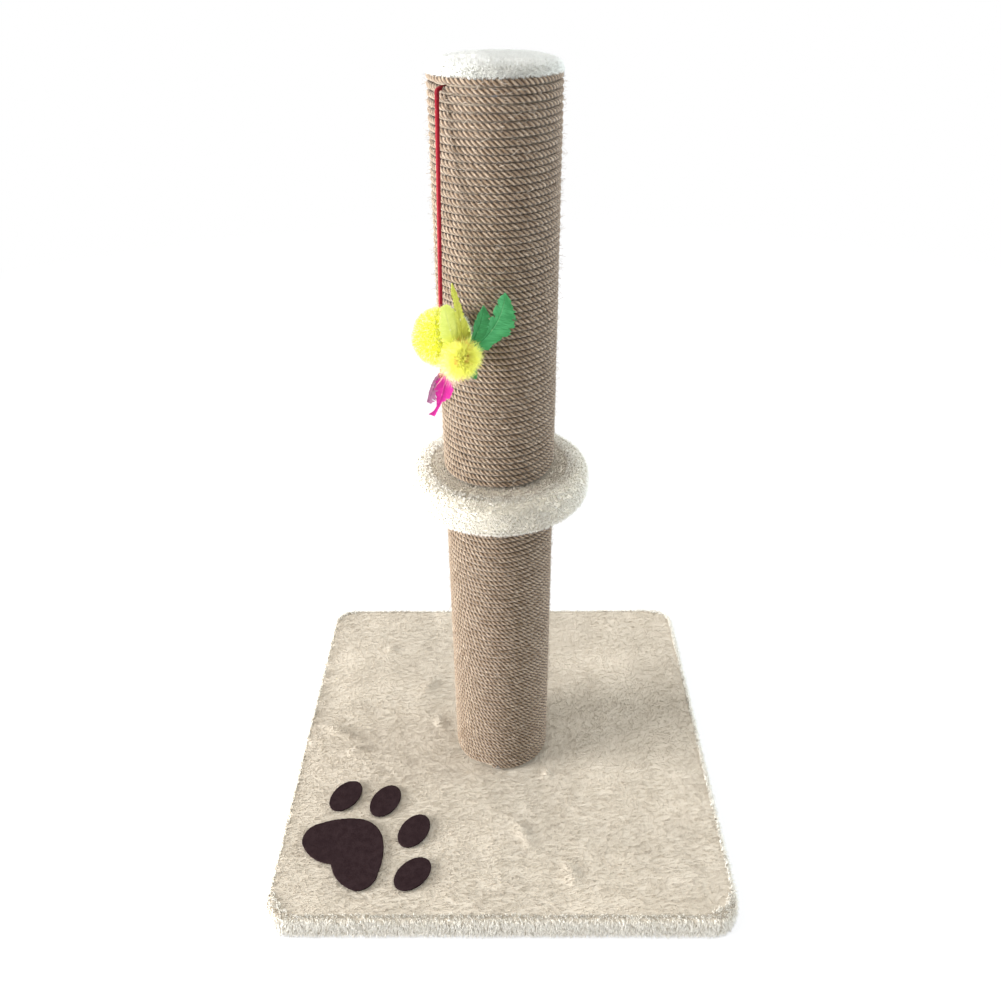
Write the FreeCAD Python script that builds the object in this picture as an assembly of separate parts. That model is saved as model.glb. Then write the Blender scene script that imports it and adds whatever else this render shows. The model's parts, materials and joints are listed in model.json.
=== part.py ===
import FreeCAD, Part

import math
import os

Vector = FreeCAD.Vector

# Cat scratching post, in millimetres, +Z up.
# The origin is the middle of the base's underside, where the post's axis meets the floor.
# The front, with the paw print, faces -Y.

# ---------------------------------------------------------------- driving dimensions

# Base: a rounded square board in a plush cover
base_side = 300.0
base_corner_radius = 17.0
board_thickness = 15.0
plush_thickness = 3.5
base_top_round = 6.0
base_bottom_round = 3.0
hem_thickness = 1.5
hem_width = 24.0
liner_thickness = 0.8
liner_gap = 0.5

# Post: two equal paper tubes with a wooden plug in each end
tube_length = 217.0
tube_outer_radius = 30.0
tube_wall = 3.0
plug_thickness = 18.0
plug_clearance = 0.1

# Rope: each section is wound from the bottom up, in runs that meet end to end. It starts and
# ends at one azimuth, in front on the lower section and out of sight on the upper one.
rope_diameter = 3.1
rope_seat_gap = 0.3
rope_end_gap = 0.3
rope_turns_per_run = 20
rope_runs = 3
lower_rope_azimuth = 258.0
upper_rope_azimuth = 2.0

# Ring between the sections: a disc with a full, rolled plush rim
ring_radius = 55.0
ring_board_thickness = 15.0
ring_rim_round = 9.0
ring_cover_hole_radius = 6.0

# Cap: plush over a thin wadding, its skirt tucked into the tube
cap_radius = 33.2
cap_rise = 8.0
cap_rim_height = 4.5
cap_rim_round = 2.2
cap_skirt_depth = 7.0
cap_skirt_thickness = 1.0
wadding_radius = 24.0
wadding_height = 4.0

# M8 bolt, stud, washer and threaded inserts
thread_radius = 4.0
thread_clearance = 0.05
bolt_hole_clearance = 0.5
bolt_head_flats = 13.0
bolt_head_height = 5.3
bolt_length = 29.0
washer_radius = 15.0
washer_thickness = 1.5
recess_clearance = 2.0
recess_floor_gap = 0.7
insert_radius = 6.0
insert_length = 15.0
stud_engagement = 14.0

# Nails through the tubes into the plugs, and tacks through the rope's ends
nail_radius = 0.8
nail_length = 14.0
nail_head_radius = 2.0
nail_head_thickness = 0.8
nails_per_plug = 3
first_nail_azimuth = 30.0
nail_clearance = 0.05
tack_radius = 0.6
tack_length = 11.0
tack_head_radius = 1.4
tack_turn = 7.0

# Staples under the base and under the ring
staple_width = 10.0
staple_wire = 1.2
staple_crown = 0.6
staple_bite = 6.0
staple_lift = 0.2
staple_clearance = 0.05
staples_per_side = 5
ring_staples = 8
ring_staple_radius = 42.0

# Elastic cord: out between the top two turns of rope, over a tight bend, then straight to the toy
cord_diameter = 2.1
cord_clearance = 0.2
cord_exit_azimuth = 222.0
cord_stand_off = 3.2
cord_bend_radius = 3.0
cord_anchor_depth = 10.5
anchor_knot_radius = 2.4
anchor_pocket_radius = 3.0
anchor_pocket_length = 9.0
knot_radius = 2.2
knot_gap = 0.3

# Toy: a ball that hangs against the post, with a bunch of feathers glued to its front
ball_radius = 18.0
ball_gap = 0.5
toy_azimuth = 236.8
toy_height = 357.3
bunch_azimuth = 298.9
bunch_elevation = -8.3
bead_radius = 3.0
bead_length = 6.0
bead_gap = 0.3
feather_thickness = 0.8
feather_layer = 1.2
feather_root_gap = 0.3
feather_widest = 0.6
quill_width = 0.8
fluff_radius = 11.0
fluff_height = 5.5

# Each feather of the bunch: layer, direction of its root, then length, direction and width.
# Layer -1 is the one next to the ball.
# Directions are degrees round the bead, seen from in front, with 0 to the right.
bunch_feathers = {
    "toy_broad_yellow_feather": (-1, 112.0, 29.6, 106.0, 12.0),
    "toy_long_yellow_feather": (0, 50.0, 40.4, 97.3, 6.0),
    "toy_large_green_feather": (1, 20.0, 38.5, 46.0, 20.0),
    "toy_small_green_feather": (2, 45.0, 29.0, 67.5, 10.0),
    "toy_little_green_feather": (0, -40.0, 19.3, -56.6, 6.0),
}

# Each feather tied in under the ball: layer, then sideways and downwards from the ball's
# bottom to its root and to its tip, and its width.
hanging_feathers = {
    "toy_purple_feather": (0, -1.5, 0.6, -7.6, 16.0, 7.0),
    "toy_magenta_feather": (1, 2.0, 0.6, -5.6, 22.6, 8.0),
}

# Felt paw print, on the front left of the base
felt_thickness = 1.2
paw_from_left_edge = 50.0
paw_from_front_edge = 52.0
toe_length = 27.8
toe_width = 19.2
toe_places = [(-9.4, 41.1, 59.0), (18.9, 36.8, 65.0), (41.0, 12.2, 62.3), (42.9, -20.4, 47.5)]
# The main pad's edge, as pairs of a point half way along an arc and the arc's end
pad_start = (-11.0, -13.3)
pad_arcs = [
    ((-25.4, -7.4), (-32.9, 2.4)),
    ((-31.5, 12.0), (-23.2, 18.0)),
    ((-11.9, 21.3), (-0.1, 22.0)),
    ((13.0, 17.6), (20.7, 5.9)),
    ((22.4, -7.5), (20.5, -20.2)),
    ((16.4, -29.2), (8.4, -32.8)),
    ((-2.6, -27.2), (-11.0, -13.3)),
]

# ---------------------------------------------------------------- sizes that follow

board_side = base_side - 2 * plush_thickness
board_bottom = hem_thickness
board_top = board_bottom + board_thickness
base_top = board_top + plush_thickness
window_side = board_side - 2 * hem_width
recess_radius = washer_radius + recess_clearance
recess_depth = washer_thickness + bolt_head_height + recess_floor_gap - hem_thickness

tube_inner_radius = tube_outer_radius - tube_wall
plug_radius = tube_inner_radius - plug_clearance
lower_bottom = base_top
lower_top = lower_bottom + tube_length
ring_thickness = ring_board_thickness + 2 * plush_thickness
ring_bottom = lower_top
ring_board_bottom = ring_bottom + plush_thickness
ring_top = ring_bottom + ring_thickness
upper_bottom = ring_top
upper_top = upper_bottom + tube_length

# Each section of the post: its bottom, its top and the azimuth of its rope's two ends
lower_section = (lower_bottom, lower_top, lower_rope_azimuth)
upper_section = (upper_bottom, upper_top, upper_rope_azimuth)

rope_radius = rope_diameter / 2
rope_path_radius = tube_outer_radius + rope_seat_gap + rope_radius
rope_outer_radius = rope_path_radius + rope_radius
rope_turns = rope_turns_per_run * rope_runs
rope_climb = tube_length - 2 * rope_end_gap - rope_diameter
rope_pitch = rope_climb / rope_turns

bolt_hole_radius = thread_radius + bolt_hole_clearance
height_tolerance = 0.01
UP = Vector(0, 0, 1)


def polar(radius, azimuth, z):
    angle = math.radians(azimuth)
    return Vector(radius * math.cos(angle), radius * math.sin(angle), z)


def unit(vector):
    return vector * (1.0 / vector.Length)


def rod(radius, start, end):
    return Part.makeCylinder(radius, (end - start).Length, start, end - start)


def upright(radius, bottom, top):
    return rod(radius, Vector(0, 0, bottom), Vector(0, 0, top))


def rounded_slab(side, corner_radius, bottom, top):
    half = side / 2
    slab = Part.makeBox(side, side, top - bottom, Vector(-half, -half, bottom))
    corners = [edge for edge in slab.Edges if edge.BoundBox.ZLength + height_tolerance > edge.Length]
    return slab.makeFillet(corner_radius, corners)


def edges_at(shape, z):
    """The edges that lie flat at height z."""
    low = [edge for edge in shape.Edges if abs(edge.BoundBox.ZMin - z) < height_tolerance]
    return [edge for edge in low if abs(edge.BoundBox.ZMax - z) < height_tolerance]


# ---------------------------------------------------------------- nails, tacks and staples


def nail(place, inward, length, radius, head_radius, head_thickness):
    """A nail whose head's outer face is at place."""
    shank = rod(radius, place, place + inward * length)
    head = rod(head_radius, place, place + inward * head_thickness)
    return head.fuse(shank).removeSplitter()


def radial_nail(azimuth, z, grow=0.0):
    place = polar(tube_outer_radius, azimuth, z)
    inward = polar(-1.0, azimuth, 0)
    head_depth = nail_head_thickness + grow
    return nail(place, inward, nail_length + grow, nail_radius + grow, nail_head_radius + grow, head_depth)


def plug_nails(grow=0.0):
    half_plug = plug_thickness / 2
    heights = [lower_bottom + half_plug, lower_top - half_plug]
    heights += [upper_bottom + half_plug, upper_top - half_plug]
    step = 360.0 / nails_per_plug
    turns = [first_nail_azimuth + step * number for number in range(nails_per_plug)]
    return Part.makeCompound([radial_nail(turn, z, grow) for z in heights for turn in turns])


def rope_end_tacks(grow=0.0):
    lift = rope_end_gap + rope_radius
    places = []
    for bottom, top, rope_azimuth in (lower_section, upper_section):
        places.append((rope_azimuth + tack_turn, bottom + lift))
        places.append((rope_azimuth - tack_turn, top - lift))
    tacks = []
    for azimuth, z in places:
        place = polar(rope_outer_radius, azimuth, z)
        inward = polar(-1.0, azimuth, 0)
        size = tack_radius + grow
        tacks.append(nail(place, inward, tack_length + grow, size, tack_head_radius, nail_head_thickness))
    return Part.makeCompound(tacks)


def staple(middle, azimuth, leg_length, grow=0.0):
    """A staple driven upwards, its crown across the azimuth and its lowest point at middle.

    With grow it is the hole that it needs, open below."""
    width = staple_width + 2 * grow
    wire = staple_wire + 2 * grow
    below = staple_lift + grow if grow else 0.0
    crown = Part.makeBox(width, wire, staple_crown + grow + below, Vector(-width / 2, -wire / 2, -below))
    thick = staple_crown + 2 * grow
    height = staple_crown + leg_length + grow
    left = Part.makeBox(thick, wire, height, Vector(-width / 2, -wire / 2, 0))
    right = Part.makeBox(thick, wire, height, Vector(width / 2 - thick, -wire / 2, 0))
    shape = crown.fuse([left, right]).removeSplitter()
    shape.rotate(Vector(0, 0, 0), UP, azimuth)
    shape.translate(middle)
    return shape


def base_staples(grow=0.0):
    inset = board_side / 2 - hem_width / 2
    spacing = window_side / staples_per_side
    leg = hem_thickness - staple_lift - staple_crown + staple_bite
    shapes = []
    for quarter in range(4):
        for number in range(staples_per_side):
            along = (number - (staples_per_side - 1) / 2) * spacing
            place = Vector(along, -inset, staple_lift)
            shape = staple(place, 0.0, leg, grow)
            shape.rotate(Vector(0, 0, 0), UP, 90.0 * quarter)
            shapes.append(shape)
    return Part.makeCompound(shapes)


def under_ring_staples(grow=0.0):
    leg = plush_thickness - staple_lift - staple_crown + staple_bite
    shapes = []
    for number in range(ring_staples):
        azimuth = 360.0 * (number + 0.5) / ring_staples
        place = polar(ring_staple_radius, azimuth, ring_bottom + staple_lift)
        shapes.append(staple(place, azimuth + 90.0, leg, grow))
    return Part.makeCompound(shapes)


# ---------------------------------------------------------------- base


def base_board():
    board = rounded_slab(board_side, base_corner_radius - plush_thickness, board_bottom, board_top)
    recess = upright(recess_radius, board_bottom, board_bottom + recess_depth)
    bolt_hole = upright(bolt_hole_radius, board_bottom, board_top)
    return board.cut([recess, bolt_hole, base_staples(staple_clearance)])


def base_plush_cover():
    cover = rounded_slab(base_side, base_corner_radius, 0.0, base_top)
    cover = cover.makeFillet(base_top_round, edges_at(cover, base_top))
    cover = cover.makeFillet(base_bottom_round, edges_at(cover, 0.0))
    inside = rounded_slab(board_side, base_corner_radius - plush_thickness, board_bottom, board_top)
    window = rounded_slab(window_side, base_corner_radius, 0.0, board_bottom)
    bolt_hole = upright(bolt_hole_radius, board_top, base_top)
    return cover.cut([inside, window, bolt_hole, base_staples(staple_clearance)])


def base_underside_liner():
    side = window_side - 2 * liner_gap
    corner_radius = base_corner_radius - liner_gap
    liner = rounded_slab(side, corner_radius, board_bottom - liner_thickness, board_bottom)
    return liner.cut(upright(recess_radius, board_bottom - liner_thickness, board_bottom))


def paw_point(place):
    """A point of the paw print, measured from the middle of its main pad."""
    x = paw_from_left_edge - base_side / 2 + place[0]
    y = paw_from_front_edge - base_side / 2 + place[1]
    return Vector(x, y, base_top)


def felt(edges):
    return Part.Face(Part.Wire(edges)).extrude(UP * felt_thickness)


def paw_main_pad():
    edges = []
    start = paw_point(pad_start)
    for middle, end in pad_arcs:
        edges.append(Part.Arc(start, paw_point(middle), paw_point(end)).toShape())
        start = paw_point(end)
    return felt(edges)


def paw_toe_pad(x, y, tilt):
    middle = paw_point((x, y))
    ellipse = Part.Ellipse(middle, toe_length / 2, toe_width / 2).toShape()
    ellipse.rotate(middle, UP, tilt)
    return felt([ellipse])


# ---------------------------------------------------------------- bolt, stud and inserts


def base_washer():
    seat = board_bottom + recess_depth
    washer = upright(washer_radius, seat - washer_thickness, seat)
    return washer.cut(upright(bolt_hole_radius, seat - washer_thickness, seat))


def base_bolt():
    under_head = board_bottom + recess_depth - washer_thickness
    head_bottom = under_head - bolt_head_height
    corner_radius = bolt_head_flats / 2 / math.cos(math.radians(30))
    corners = [polar(corner_radius, 60.0 * number, head_bottom) for number in range(7)]
    head = Part.Face(Part.makePolygon(corners)).extrude(UP * bolt_head_height)
    return head.fuse(upright(thread_radius, head_bottom, under_head + bolt_length)).removeSplitter()


def ring_joining_stud():
    return upright(thread_radius, ring_bottom - stud_engagement, ring_top + stud_engagement)


def threaded_inserts():
    starts = [(lower_bottom, 1), (lower_top, -1), (upper_bottom, 1)]
    inserts = []
    for start, side in starts:
        bottom = min(start, start + side * insert_length)
        sleeve = upright(insert_radius, bottom, bottom + insert_length)
        bore = upright(thread_radius + thread_clearance, bottom, bottom + insert_length)
        inserts.append(sleeve.cut(bore))
    return Part.makeCompound(inserts)


# ---------------------------------------------------------------- tubes and plugs


def tube(bottom):
    shape = upright(tube_outer_radius, bottom, bottom + tube_length)
    shape = shape.cut(upright(tube_inner_radius, bottom, bottom + tube_length))
    return shape.cut([plug_nails(nail_clearance), rope_end_tacks(nail_clearance)])


def bored_plug(bottom):
    plug = upright(plug_radius, bottom, bottom + plug_thickness)
    bore = upright(insert_radius + thread_clearance, bottom, bottom + plug_thickness)
    return plug.cut([bore, plug_nails(nail_clearance), rope_end_tacks(nail_clearance)])


def upper_tube():
    return tube(upper_bottom).cut(cord_hole())


def upper_tube_top_plug():
    bottom = upper_top - plug_thickness
    step = upper_top - cap_skirt_depth - plug_clearance
    plug = upright(plug_radius, bottom, step)
    head = upright(plug_radius - cap_skirt_thickness - plug_clearance, step, upper_top)
    pocket = rod(anchor_pocket_radius, pocket_mouth, pocket_mouth - cord_out * anchor_pocket_length)
    plug = plug.fuse(head).removeSplitter()
    return plug.cut([pocket, plug_nails(nail_clearance), rope_end_tacks(nail_clearance)])


# ---------------------------------------------------------------- rope


def arc_through_corner(start, corner, end):
    """The arc from start to end whose tangents there meet at corner."""
    chord_middle = (start + end) * 0.5
    cosine = (end - start).Length / 2 / (corner - start).Length
    middle = chord_middle + (corner - chord_middle) * (cosine / (1 + cosine))
    return Part.Arc(start, middle, end).toShape()


def biarc(start, start_tangent, end, end_tangent):
    """Two arcs with a common tangent where they meet."""
    across = end - start
    both = start_tangent + end_tangent
    spread = 2 * (1 - start_tangent.dot(end_tangent))
    along = across.dot(both)
    reach = (math.sqrt(along * along + spread * across.dot(across)) - along) / spread
    first_corner = start + start_tangent * reach
    second_corner = end - end_tangent * reach
    meeting = (first_corner + second_corner) * 0.5
    first = arc_through_corner(start, first_corner, meeting)
    return [first, arc_through_corner(meeting, second_corner, end)]


def rope_point(section, turns):
    bottom, _, start_azimuth = section
    z = bottom + rope_end_gap + rope_radius + turns * rope_pitch
    return polar(rope_path_radius, start_azimuth + 360.0 * turns, z)


def rope_tangent(section, turns):
    _, _, start_azimuth = section
    flat = polar(rope_path_radius * 2 * math.pi, start_azimuth + 360.0 * turns + 90.0, 0)
    return unit(flat + UP * rope_pitch)


def rope_path(section, run):
    """One run of rope on biarcs of half a turn, with a straight end where the rope ends."""
    first = run * rope_turns_per_run
    last = first + rope_turns_per_run
    edges = []
    if run == 0:
        start = rope_point(section, first)
        edges.append(Part.LineSegment(start - rope_tangent(section, first) * rope_diameter, start).toShape())
    for half in range(2 * first, 2 * last):
        begin = half / 2
        finish = (half + 1) / 2
        ends = (rope_point(section, begin), rope_point(section, finish))
        edges += biarc(ends[0], rope_tangent(section, begin), ends[1], rope_tangent(section, finish))
    if run == rope_runs - 1:
        end = rope_point(section, last)
        edges.append(Part.LineSegment(end, end + rope_tangent(section, last) * rope_diameter).toShape())
    return Part.Wire(edges)


def rope_run(section, run):
    path = rope_path(section, run)
    start = path.Edges[0].valueAt(path.Edges[0].FirstParameter)
    along = path.Edges[0].tangentAt(path.Edges[0].FirstParameter)
    section = Part.Wire([Part.makeCircle(rope_radius, start, along)])
    return path.makePipeShell([section], True, False)


def least_rope_gap(section):
    """The least gap between turns, measured on points along the path."""
    samples_per_arc = 6
    points = []
    for run in range(rope_runs):
        for edge in rope_path(section, run).Edges:
            span = edge.LastParameter - edge.FirstParameter
            for number in range(samples_per_arc):
                points.append(edge.valueAt(edge.FirstParameter + span * number / samples_per_arc))
    half_turn = 2 * samples_per_arc
    turn_and_half = 6 * samples_per_arc
    least = math.inf
    for index, point in enumerate(points):
        for other in points[index + half_turn:index + turn_and_half]:
            least = min(least, (other - point).Length)
    return least - rope_diameter


# ---------------------------------------------------------------- ring and cap


def ring_board():
    radius = ring_radius - plush_thickness
    board = upright(radius, ring_board_bottom, ring_board_bottom + ring_board_thickness)
    bolt_hole = upright(bolt_hole_radius, ring_bottom, ring_top)
    return board.cut([bolt_hole, under_ring_staples(staple_clearance)])


def ring_plush_cover():
    cover = upright(ring_radius, ring_bottom, ring_top)
    rims = edges_at(cover, ring_bottom) + edges_at(cover, ring_top)
    cover = cover.makeFillet(ring_rim_round, rims)
    inside_radius = ring_radius - plush_thickness
    inside = upright(inside_radius, ring_board_bottom, ring_board_bottom + ring_board_thickness)
    hole = upright(ring_cover_hole_radius, ring_bottom, ring_top)
    return cover.cut([inside, hole, under_ring_staples(staple_clearance)])


def turned(edges):
    return Part.Face(Part.Wire(edges)).revolve(Vector(0, 0, 0), UP, 360.0)


def dome_arc(radius, low, high):
    """The right half of a dome's outline, from its edge to its top, in the XZ plane."""
    rise = high - low
    sphere = (radius * radius + rise * rise) / (2 * rise)
    half_way = radius / 2
    middle_z = high - sphere + math.sqrt(sphere * sphere - half_way * half_way)
    return Part.Arc(Vector(radius, 0, low), Vector(half_way, 0, middle_z), Vector(0, 0, high)).toShape()


def lines_through(points):
    return [Part.LineSegment(a, b).toShape() for a, b in zip(points, points[1:])]


def cap_wadding():
    top = Vector(0, 0, upper_top + wadding_height)
    flat = [top, Vector(0, 0, upper_top), Vector(wadding_radius, 0, upper_top)]
    return turned(lines_through(flat) + [dome_arc(wadding_radius, upper_top, top.z)])


def cap_plush_cover():
    skirt_outer = tube_inner_radius - plug_clearance
    skirt_inner = skirt_outer - cap_skirt_thickness
    skirt_end = upper_top - cap_skirt_depth
    rim_start = Vector(cap_radius - cap_rim_round, 0, upper_top)
    rim_middle = Vector(cap_radius, 0, upper_top + cap_rim_height / 2)
    rim_end = Vector(cap_radius - cap_rim_round, 0, upper_top + cap_rim_height)
    inside = [
        Vector(wadding_radius, 0, upper_top),
        Vector(skirt_inner, 0, upper_top),
        Vector(skirt_inner, 0, skirt_end),
        Vector(skirt_outer, 0, skirt_end),
        Vector(skirt_outer, 0, upper_top),
        rim_start,
    ]
    edges = [dome_arc(wadding_radius, upper_top, upper_top + wadding_height)]
    edges += lines_through(inside)
    edges.append(Part.Arc(rim_start, rim_middle, rim_end).toShape())
    edges.append(dome_arc(rim_end.x, rim_end.z, upper_top + cap_rise))
    apex = [Vector(0, 0, upper_top + cap_rise), Vector(0, 0, upper_top + wadding_height)]
    edges += lines_through(apex)
    edges = Part.sortEdges(edges)[0]
    return turned(edges).cut([cord_hole(), rope_end_tacks(nail_clearance)])


# ---------------------------------------------------------------- cord

# The cord leaves the rope half way between the last two turns, pointing at the toy's azimuth.
turns_back = (upper_rope_azimuth - cord_exit_azimuth) % 360.0 / 360.0
cord_exit_z = upper_top - rope_end_gap - rope_radius - rope_pitch * (turns_back + 0.5)
cord_exit = polar(rope_outer_radius, cord_exit_azimuth, cord_exit_z)
cord_out = polar(1.0, toy_azimuth, 0)
cord_corner = cord_exit + cord_out * cord_stand_off
ball_middle = polar(rope_outer_radius + ball_gap + ball_radius, toy_azimuth, toy_height)
cord_down = unit(ball_middle - cord_corner)
cord_turn = math.acos(cord_out.dot(cord_down))
bend_tangent = cord_bend_radius * math.tan(cord_turn / 2)
bend_start = cord_corner - cord_out * bend_tangent
bend_end = cord_corner + cord_down * bend_tangent
anchor_middle = cord_exit - cord_out * cord_anchor_depth
pocket_mouth = anchor_middle + cord_out * (anchor_pocket_length / 2)
knot_middle = ball_middle + cord_down * (ball_radius + knot_gap + knot_radius)
cord_radius = cord_diameter / 2


def cord_hole():
    return rod(cord_radius + cord_clearance, anchor_middle, cord_exit)


def cord_anchor():
    knot = Part.makeSphere(anchor_knot_radius, anchor_middle)
    return knot.fuse(rod(cord_radius, anchor_middle, bend_start)).removeSplitter()


def cord_exit_bend():
    path = Part.Wire([arc_through_corner(bend_start, cord_corner, bend_end)])
    section = Part.Wire([Part.makeCircle(cord_radius, bend_start, cord_out)])
    return path.makePipeShell([section], True, False)


def elastic_cord():
    return rod(cord_radius, bend_end, knot_middle)


def cord_knot():
    return Part.makeSphere(knot_radius, knot_middle).cut(elastic_cord())


# ---------------------------------------------------------------- toy

bunch_tilt = math.radians(bunch_elevation)
bunch_out = polar(math.cos(bunch_tilt), bunch_azimuth, math.sin(bunch_tilt))
bunch_right = unit(UP.cross(bunch_out))
bunch_up = bunch_out.cross(bunch_right)
bead_start = ball_middle + bunch_out * (ball_radius + bead_gap)
bead_end = bead_start + bunch_out * bead_length
feather_floor = ball_radius + bead_gap + feather_layer


def toy_ball():
    ball = Part.makeSphere(ball_radius, ball_middle)
    reach = cord_down * (ball_radius + cord_radius)
    return ball.cut(rod(cord_radius + cord_clearance, ball_middle - reach, ball_middle + reach))


def toy_feather_bead():
    return rod(bead_radius, bead_start, bead_end)


def toy_yellow_fluff():
    """A flattened dome of down on the bead's outer end."""
    base = bead_end + bunch_out * bead_gap
    sphere_radius = (fluff_radius**2 + fluff_height**2) / (2 * fluff_height)
    sphere_middle = base + bunch_out * (fluff_height - sphere_radius)
    reach = rod(fluff_radius, base, base + bunch_out * fluff_height)
    return Part.makeSphere(sphere_radius, sphere_middle).common(reach)


def leaf(root, tip, width, outwards):
    """A flat feather: two arcs from a narrow quill to a pointed tip, widest past the middle."""
    along = unit(tip - root)
    side = outwards.cross(along)
    widest = root + (tip - root) * feather_widest
    quill = side * (quill_width / 2)
    left = Part.Arc(root - quill, widest - side * (width / 2), tip).toShape()
    right = Part.Arc(tip, widest + side * (width / 2), root + quill).toShape()
    end = Part.LineSegment(root + quill, root - quill).toShape()
    return Part.Face(Part.Wire([left, right, end])).extrude(outwards * feather_thickness)


def bunch_place(layer, distance, direction):
    angle = math.radians(direction)
    sideways = bunch_right * (distance * math.cos(angle))
    upwards = bunch_up * (distance * math.sin(angle))
    return ball_middle + bunch_out * (feather_floor + layer * feather_layer) + sideways + upwards


def bunch_feather(layer, root_direction, length, direction, width):
    root = bunch_place(layer, bead_radius + feather_root_gap, root_direction)
    tip = bunch_place(layer, length, direction)
    return leaf(root, tip, width, bunch_out)


def hanging_feather(layer, root_side, root_down, tip_side, tip_down, width):
    forwards = unit(cord_down.cross(Vector(1, 0, 0)))
    sideways = forwards.cross(cord_down)
    bottom = ball_middle + cord_down * ball_radius
    bottom = bottom + forwards * (knot_radius + feather_root_gap + layer * feather_layer)
    root = bottom + sideways * root_side + cord_down * root_down
    tip = bottom + sideways * tip_side + cord_down * tip_down
    return leaf(root, tip, width, forwards)


# ---------------------------------------------------------------- build


def all_parts():
    parts = {
        "base_board": base_board(),
        "base_plush_cover": base_plush_cover(),
        "base_underside_liner": base_underside_liner(),
        "base_cover_staples": base_staples(),
        "base_bolt": base_bolt(),
        "base_washer": base_washer(),
        "paw_main_pad": paw_main_pad(),
        "lower_tube": tube(lower_bottom),
        "lower_tube_bottom_plug": bored_plug(lower_bottom),
        "lower_tube_top_plug": bored_plug(lower_top - plug_thickness),
        "ring_board": ring_board(),
        "ring_plush_cover": ring_plush_cover(),
        "ring_cover_staples": under_ring_staples(),
        "ring_joining_stud": ring_joining_stud(),
        "upper_tube": upper_tube(),
        "upper_tube_bottom_plug": bored_plug(upper_bottom),
        "upper_tube_top_plug": upper_tube_top_plug(),
        "threaded_inserts": threaded_inserts(),
        "plug_nails": plug_nails(),
        "rope_end_tacks": rope_end_tacks(),
        "cap_wadding": cap_wadding(),
        "cap_plush_cover": cap_plush_cover(),
        "cord_anchor": cord_anchor(),
        "cord_exit_bend": cord_exit_bend(),
        "elastic_cord": elastic_cord(),
        "cord_knot": cord_knot(),
        "toy_ball": toy_ball(),
        "toy_feather_bead": toy_feather_bead(),
        "toy_yellow_fluff": toy_yellow_fluff(),
    }
    for number, place in enumerate(toe_places, start=1):
        parts[f"paw_toe_pad_{number}"] = paw_toe_pad(*place)
    for run in range(rope_runs):
        parts[f"lower_rope_run_{run + 1}"] = rope_run(lower_section, run)
        parts[f"upper_rope_run_{run + 1}"] = rope_run(upper_section, run)
    for name, values in bunch_feathers.items():
        parts[name] = bunch_feather(*values)
    for name, values in hanging_feathers.items():
        parts[name] = hanging_feather(*values)
    return parts


def print_measures(parts):
    print(f"height {upper_top + cap_rise:.1f}, rope pitch {rope_pitch:.3f}, turns {rope_turns}")
    print(f"least gap between turns of rope {least_rope_gap(upper_section):.3f} mm")
    run_length = rope_path(upper_section, 1).Length
    run_share = parts["upper_rope_run_2"].Volume / (math.pi * rope_radius**2 * run_length)
    print(f"rope run: {run_length:.0f} mm long, volume share {run_share:.4f}")
    bend_length = cord_bend_radius * cord_turn
    bend_share = parts["cord_exit_bend"].Volume / (math.pi * cord_radius**2 * bend_length)
    bend_degrees = math.degrees(cord_turn)
    print(f"cord bend radius {cord_bend_radius:.1f} mm, turn {bend_degrees:.1f}, share {bend_share:.4f}")
    free_length = bend_length + (knot_middle - bend_end).Length
    print(f"cord outside the rope {free_length:.1f} mm")


def main():
    os.makedirs("parts", exist_ok=True)
    parts = all_parts()
    for name, shape in parts.items():
        if not shape.isValid():
            print("NOT VALID", name)
        shape.exportStep(f"parts/{name}.step")
    print(len(parts), "nodes")
    print_measures(parts)


main()
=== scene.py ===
# %% [markdown]
# # A cat scratching post
# The post stands on a square board in cream plush. Two paper tubes are wound with jute rope, with a
# plush ring between them and a plush cap on top. A ball with dyed feathers hangs on a red elastic cord.
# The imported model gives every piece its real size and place, so this lesson adds what shows: twisted
# rope, standing pile, felt, feathers and a braided cord. All lengths are in metres.

import json
import math
from math import tau

import bpy
import numpy as np
from mathutils import Matrix, Vector
from mathutils.kdtree import KDTree


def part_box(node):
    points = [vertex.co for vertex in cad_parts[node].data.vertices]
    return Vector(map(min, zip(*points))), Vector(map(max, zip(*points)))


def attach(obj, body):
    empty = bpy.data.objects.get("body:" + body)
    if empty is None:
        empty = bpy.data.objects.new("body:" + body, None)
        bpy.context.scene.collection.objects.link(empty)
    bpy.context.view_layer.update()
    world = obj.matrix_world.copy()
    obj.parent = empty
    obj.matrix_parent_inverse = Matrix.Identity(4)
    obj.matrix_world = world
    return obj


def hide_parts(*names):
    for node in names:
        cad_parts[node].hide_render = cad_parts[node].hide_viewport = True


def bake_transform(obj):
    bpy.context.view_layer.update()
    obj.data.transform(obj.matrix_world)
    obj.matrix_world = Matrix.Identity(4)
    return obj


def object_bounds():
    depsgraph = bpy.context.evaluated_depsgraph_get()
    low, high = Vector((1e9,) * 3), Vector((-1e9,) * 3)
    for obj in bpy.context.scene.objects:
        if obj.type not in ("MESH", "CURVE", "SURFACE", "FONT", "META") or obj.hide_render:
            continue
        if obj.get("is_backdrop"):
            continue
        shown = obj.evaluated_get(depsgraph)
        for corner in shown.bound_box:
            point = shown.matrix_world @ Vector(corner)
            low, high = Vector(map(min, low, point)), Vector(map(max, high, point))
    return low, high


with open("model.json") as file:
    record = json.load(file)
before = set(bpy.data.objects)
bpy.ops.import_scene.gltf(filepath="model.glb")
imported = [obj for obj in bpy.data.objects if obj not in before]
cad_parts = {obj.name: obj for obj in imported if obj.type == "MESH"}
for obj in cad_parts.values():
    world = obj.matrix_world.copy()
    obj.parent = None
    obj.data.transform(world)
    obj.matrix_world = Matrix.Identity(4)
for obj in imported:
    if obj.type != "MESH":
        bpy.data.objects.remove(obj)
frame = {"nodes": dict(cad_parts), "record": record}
cad_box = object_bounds()
mm = 0.001
print("packed nodes:", len(frame["nodes"]))

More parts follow.
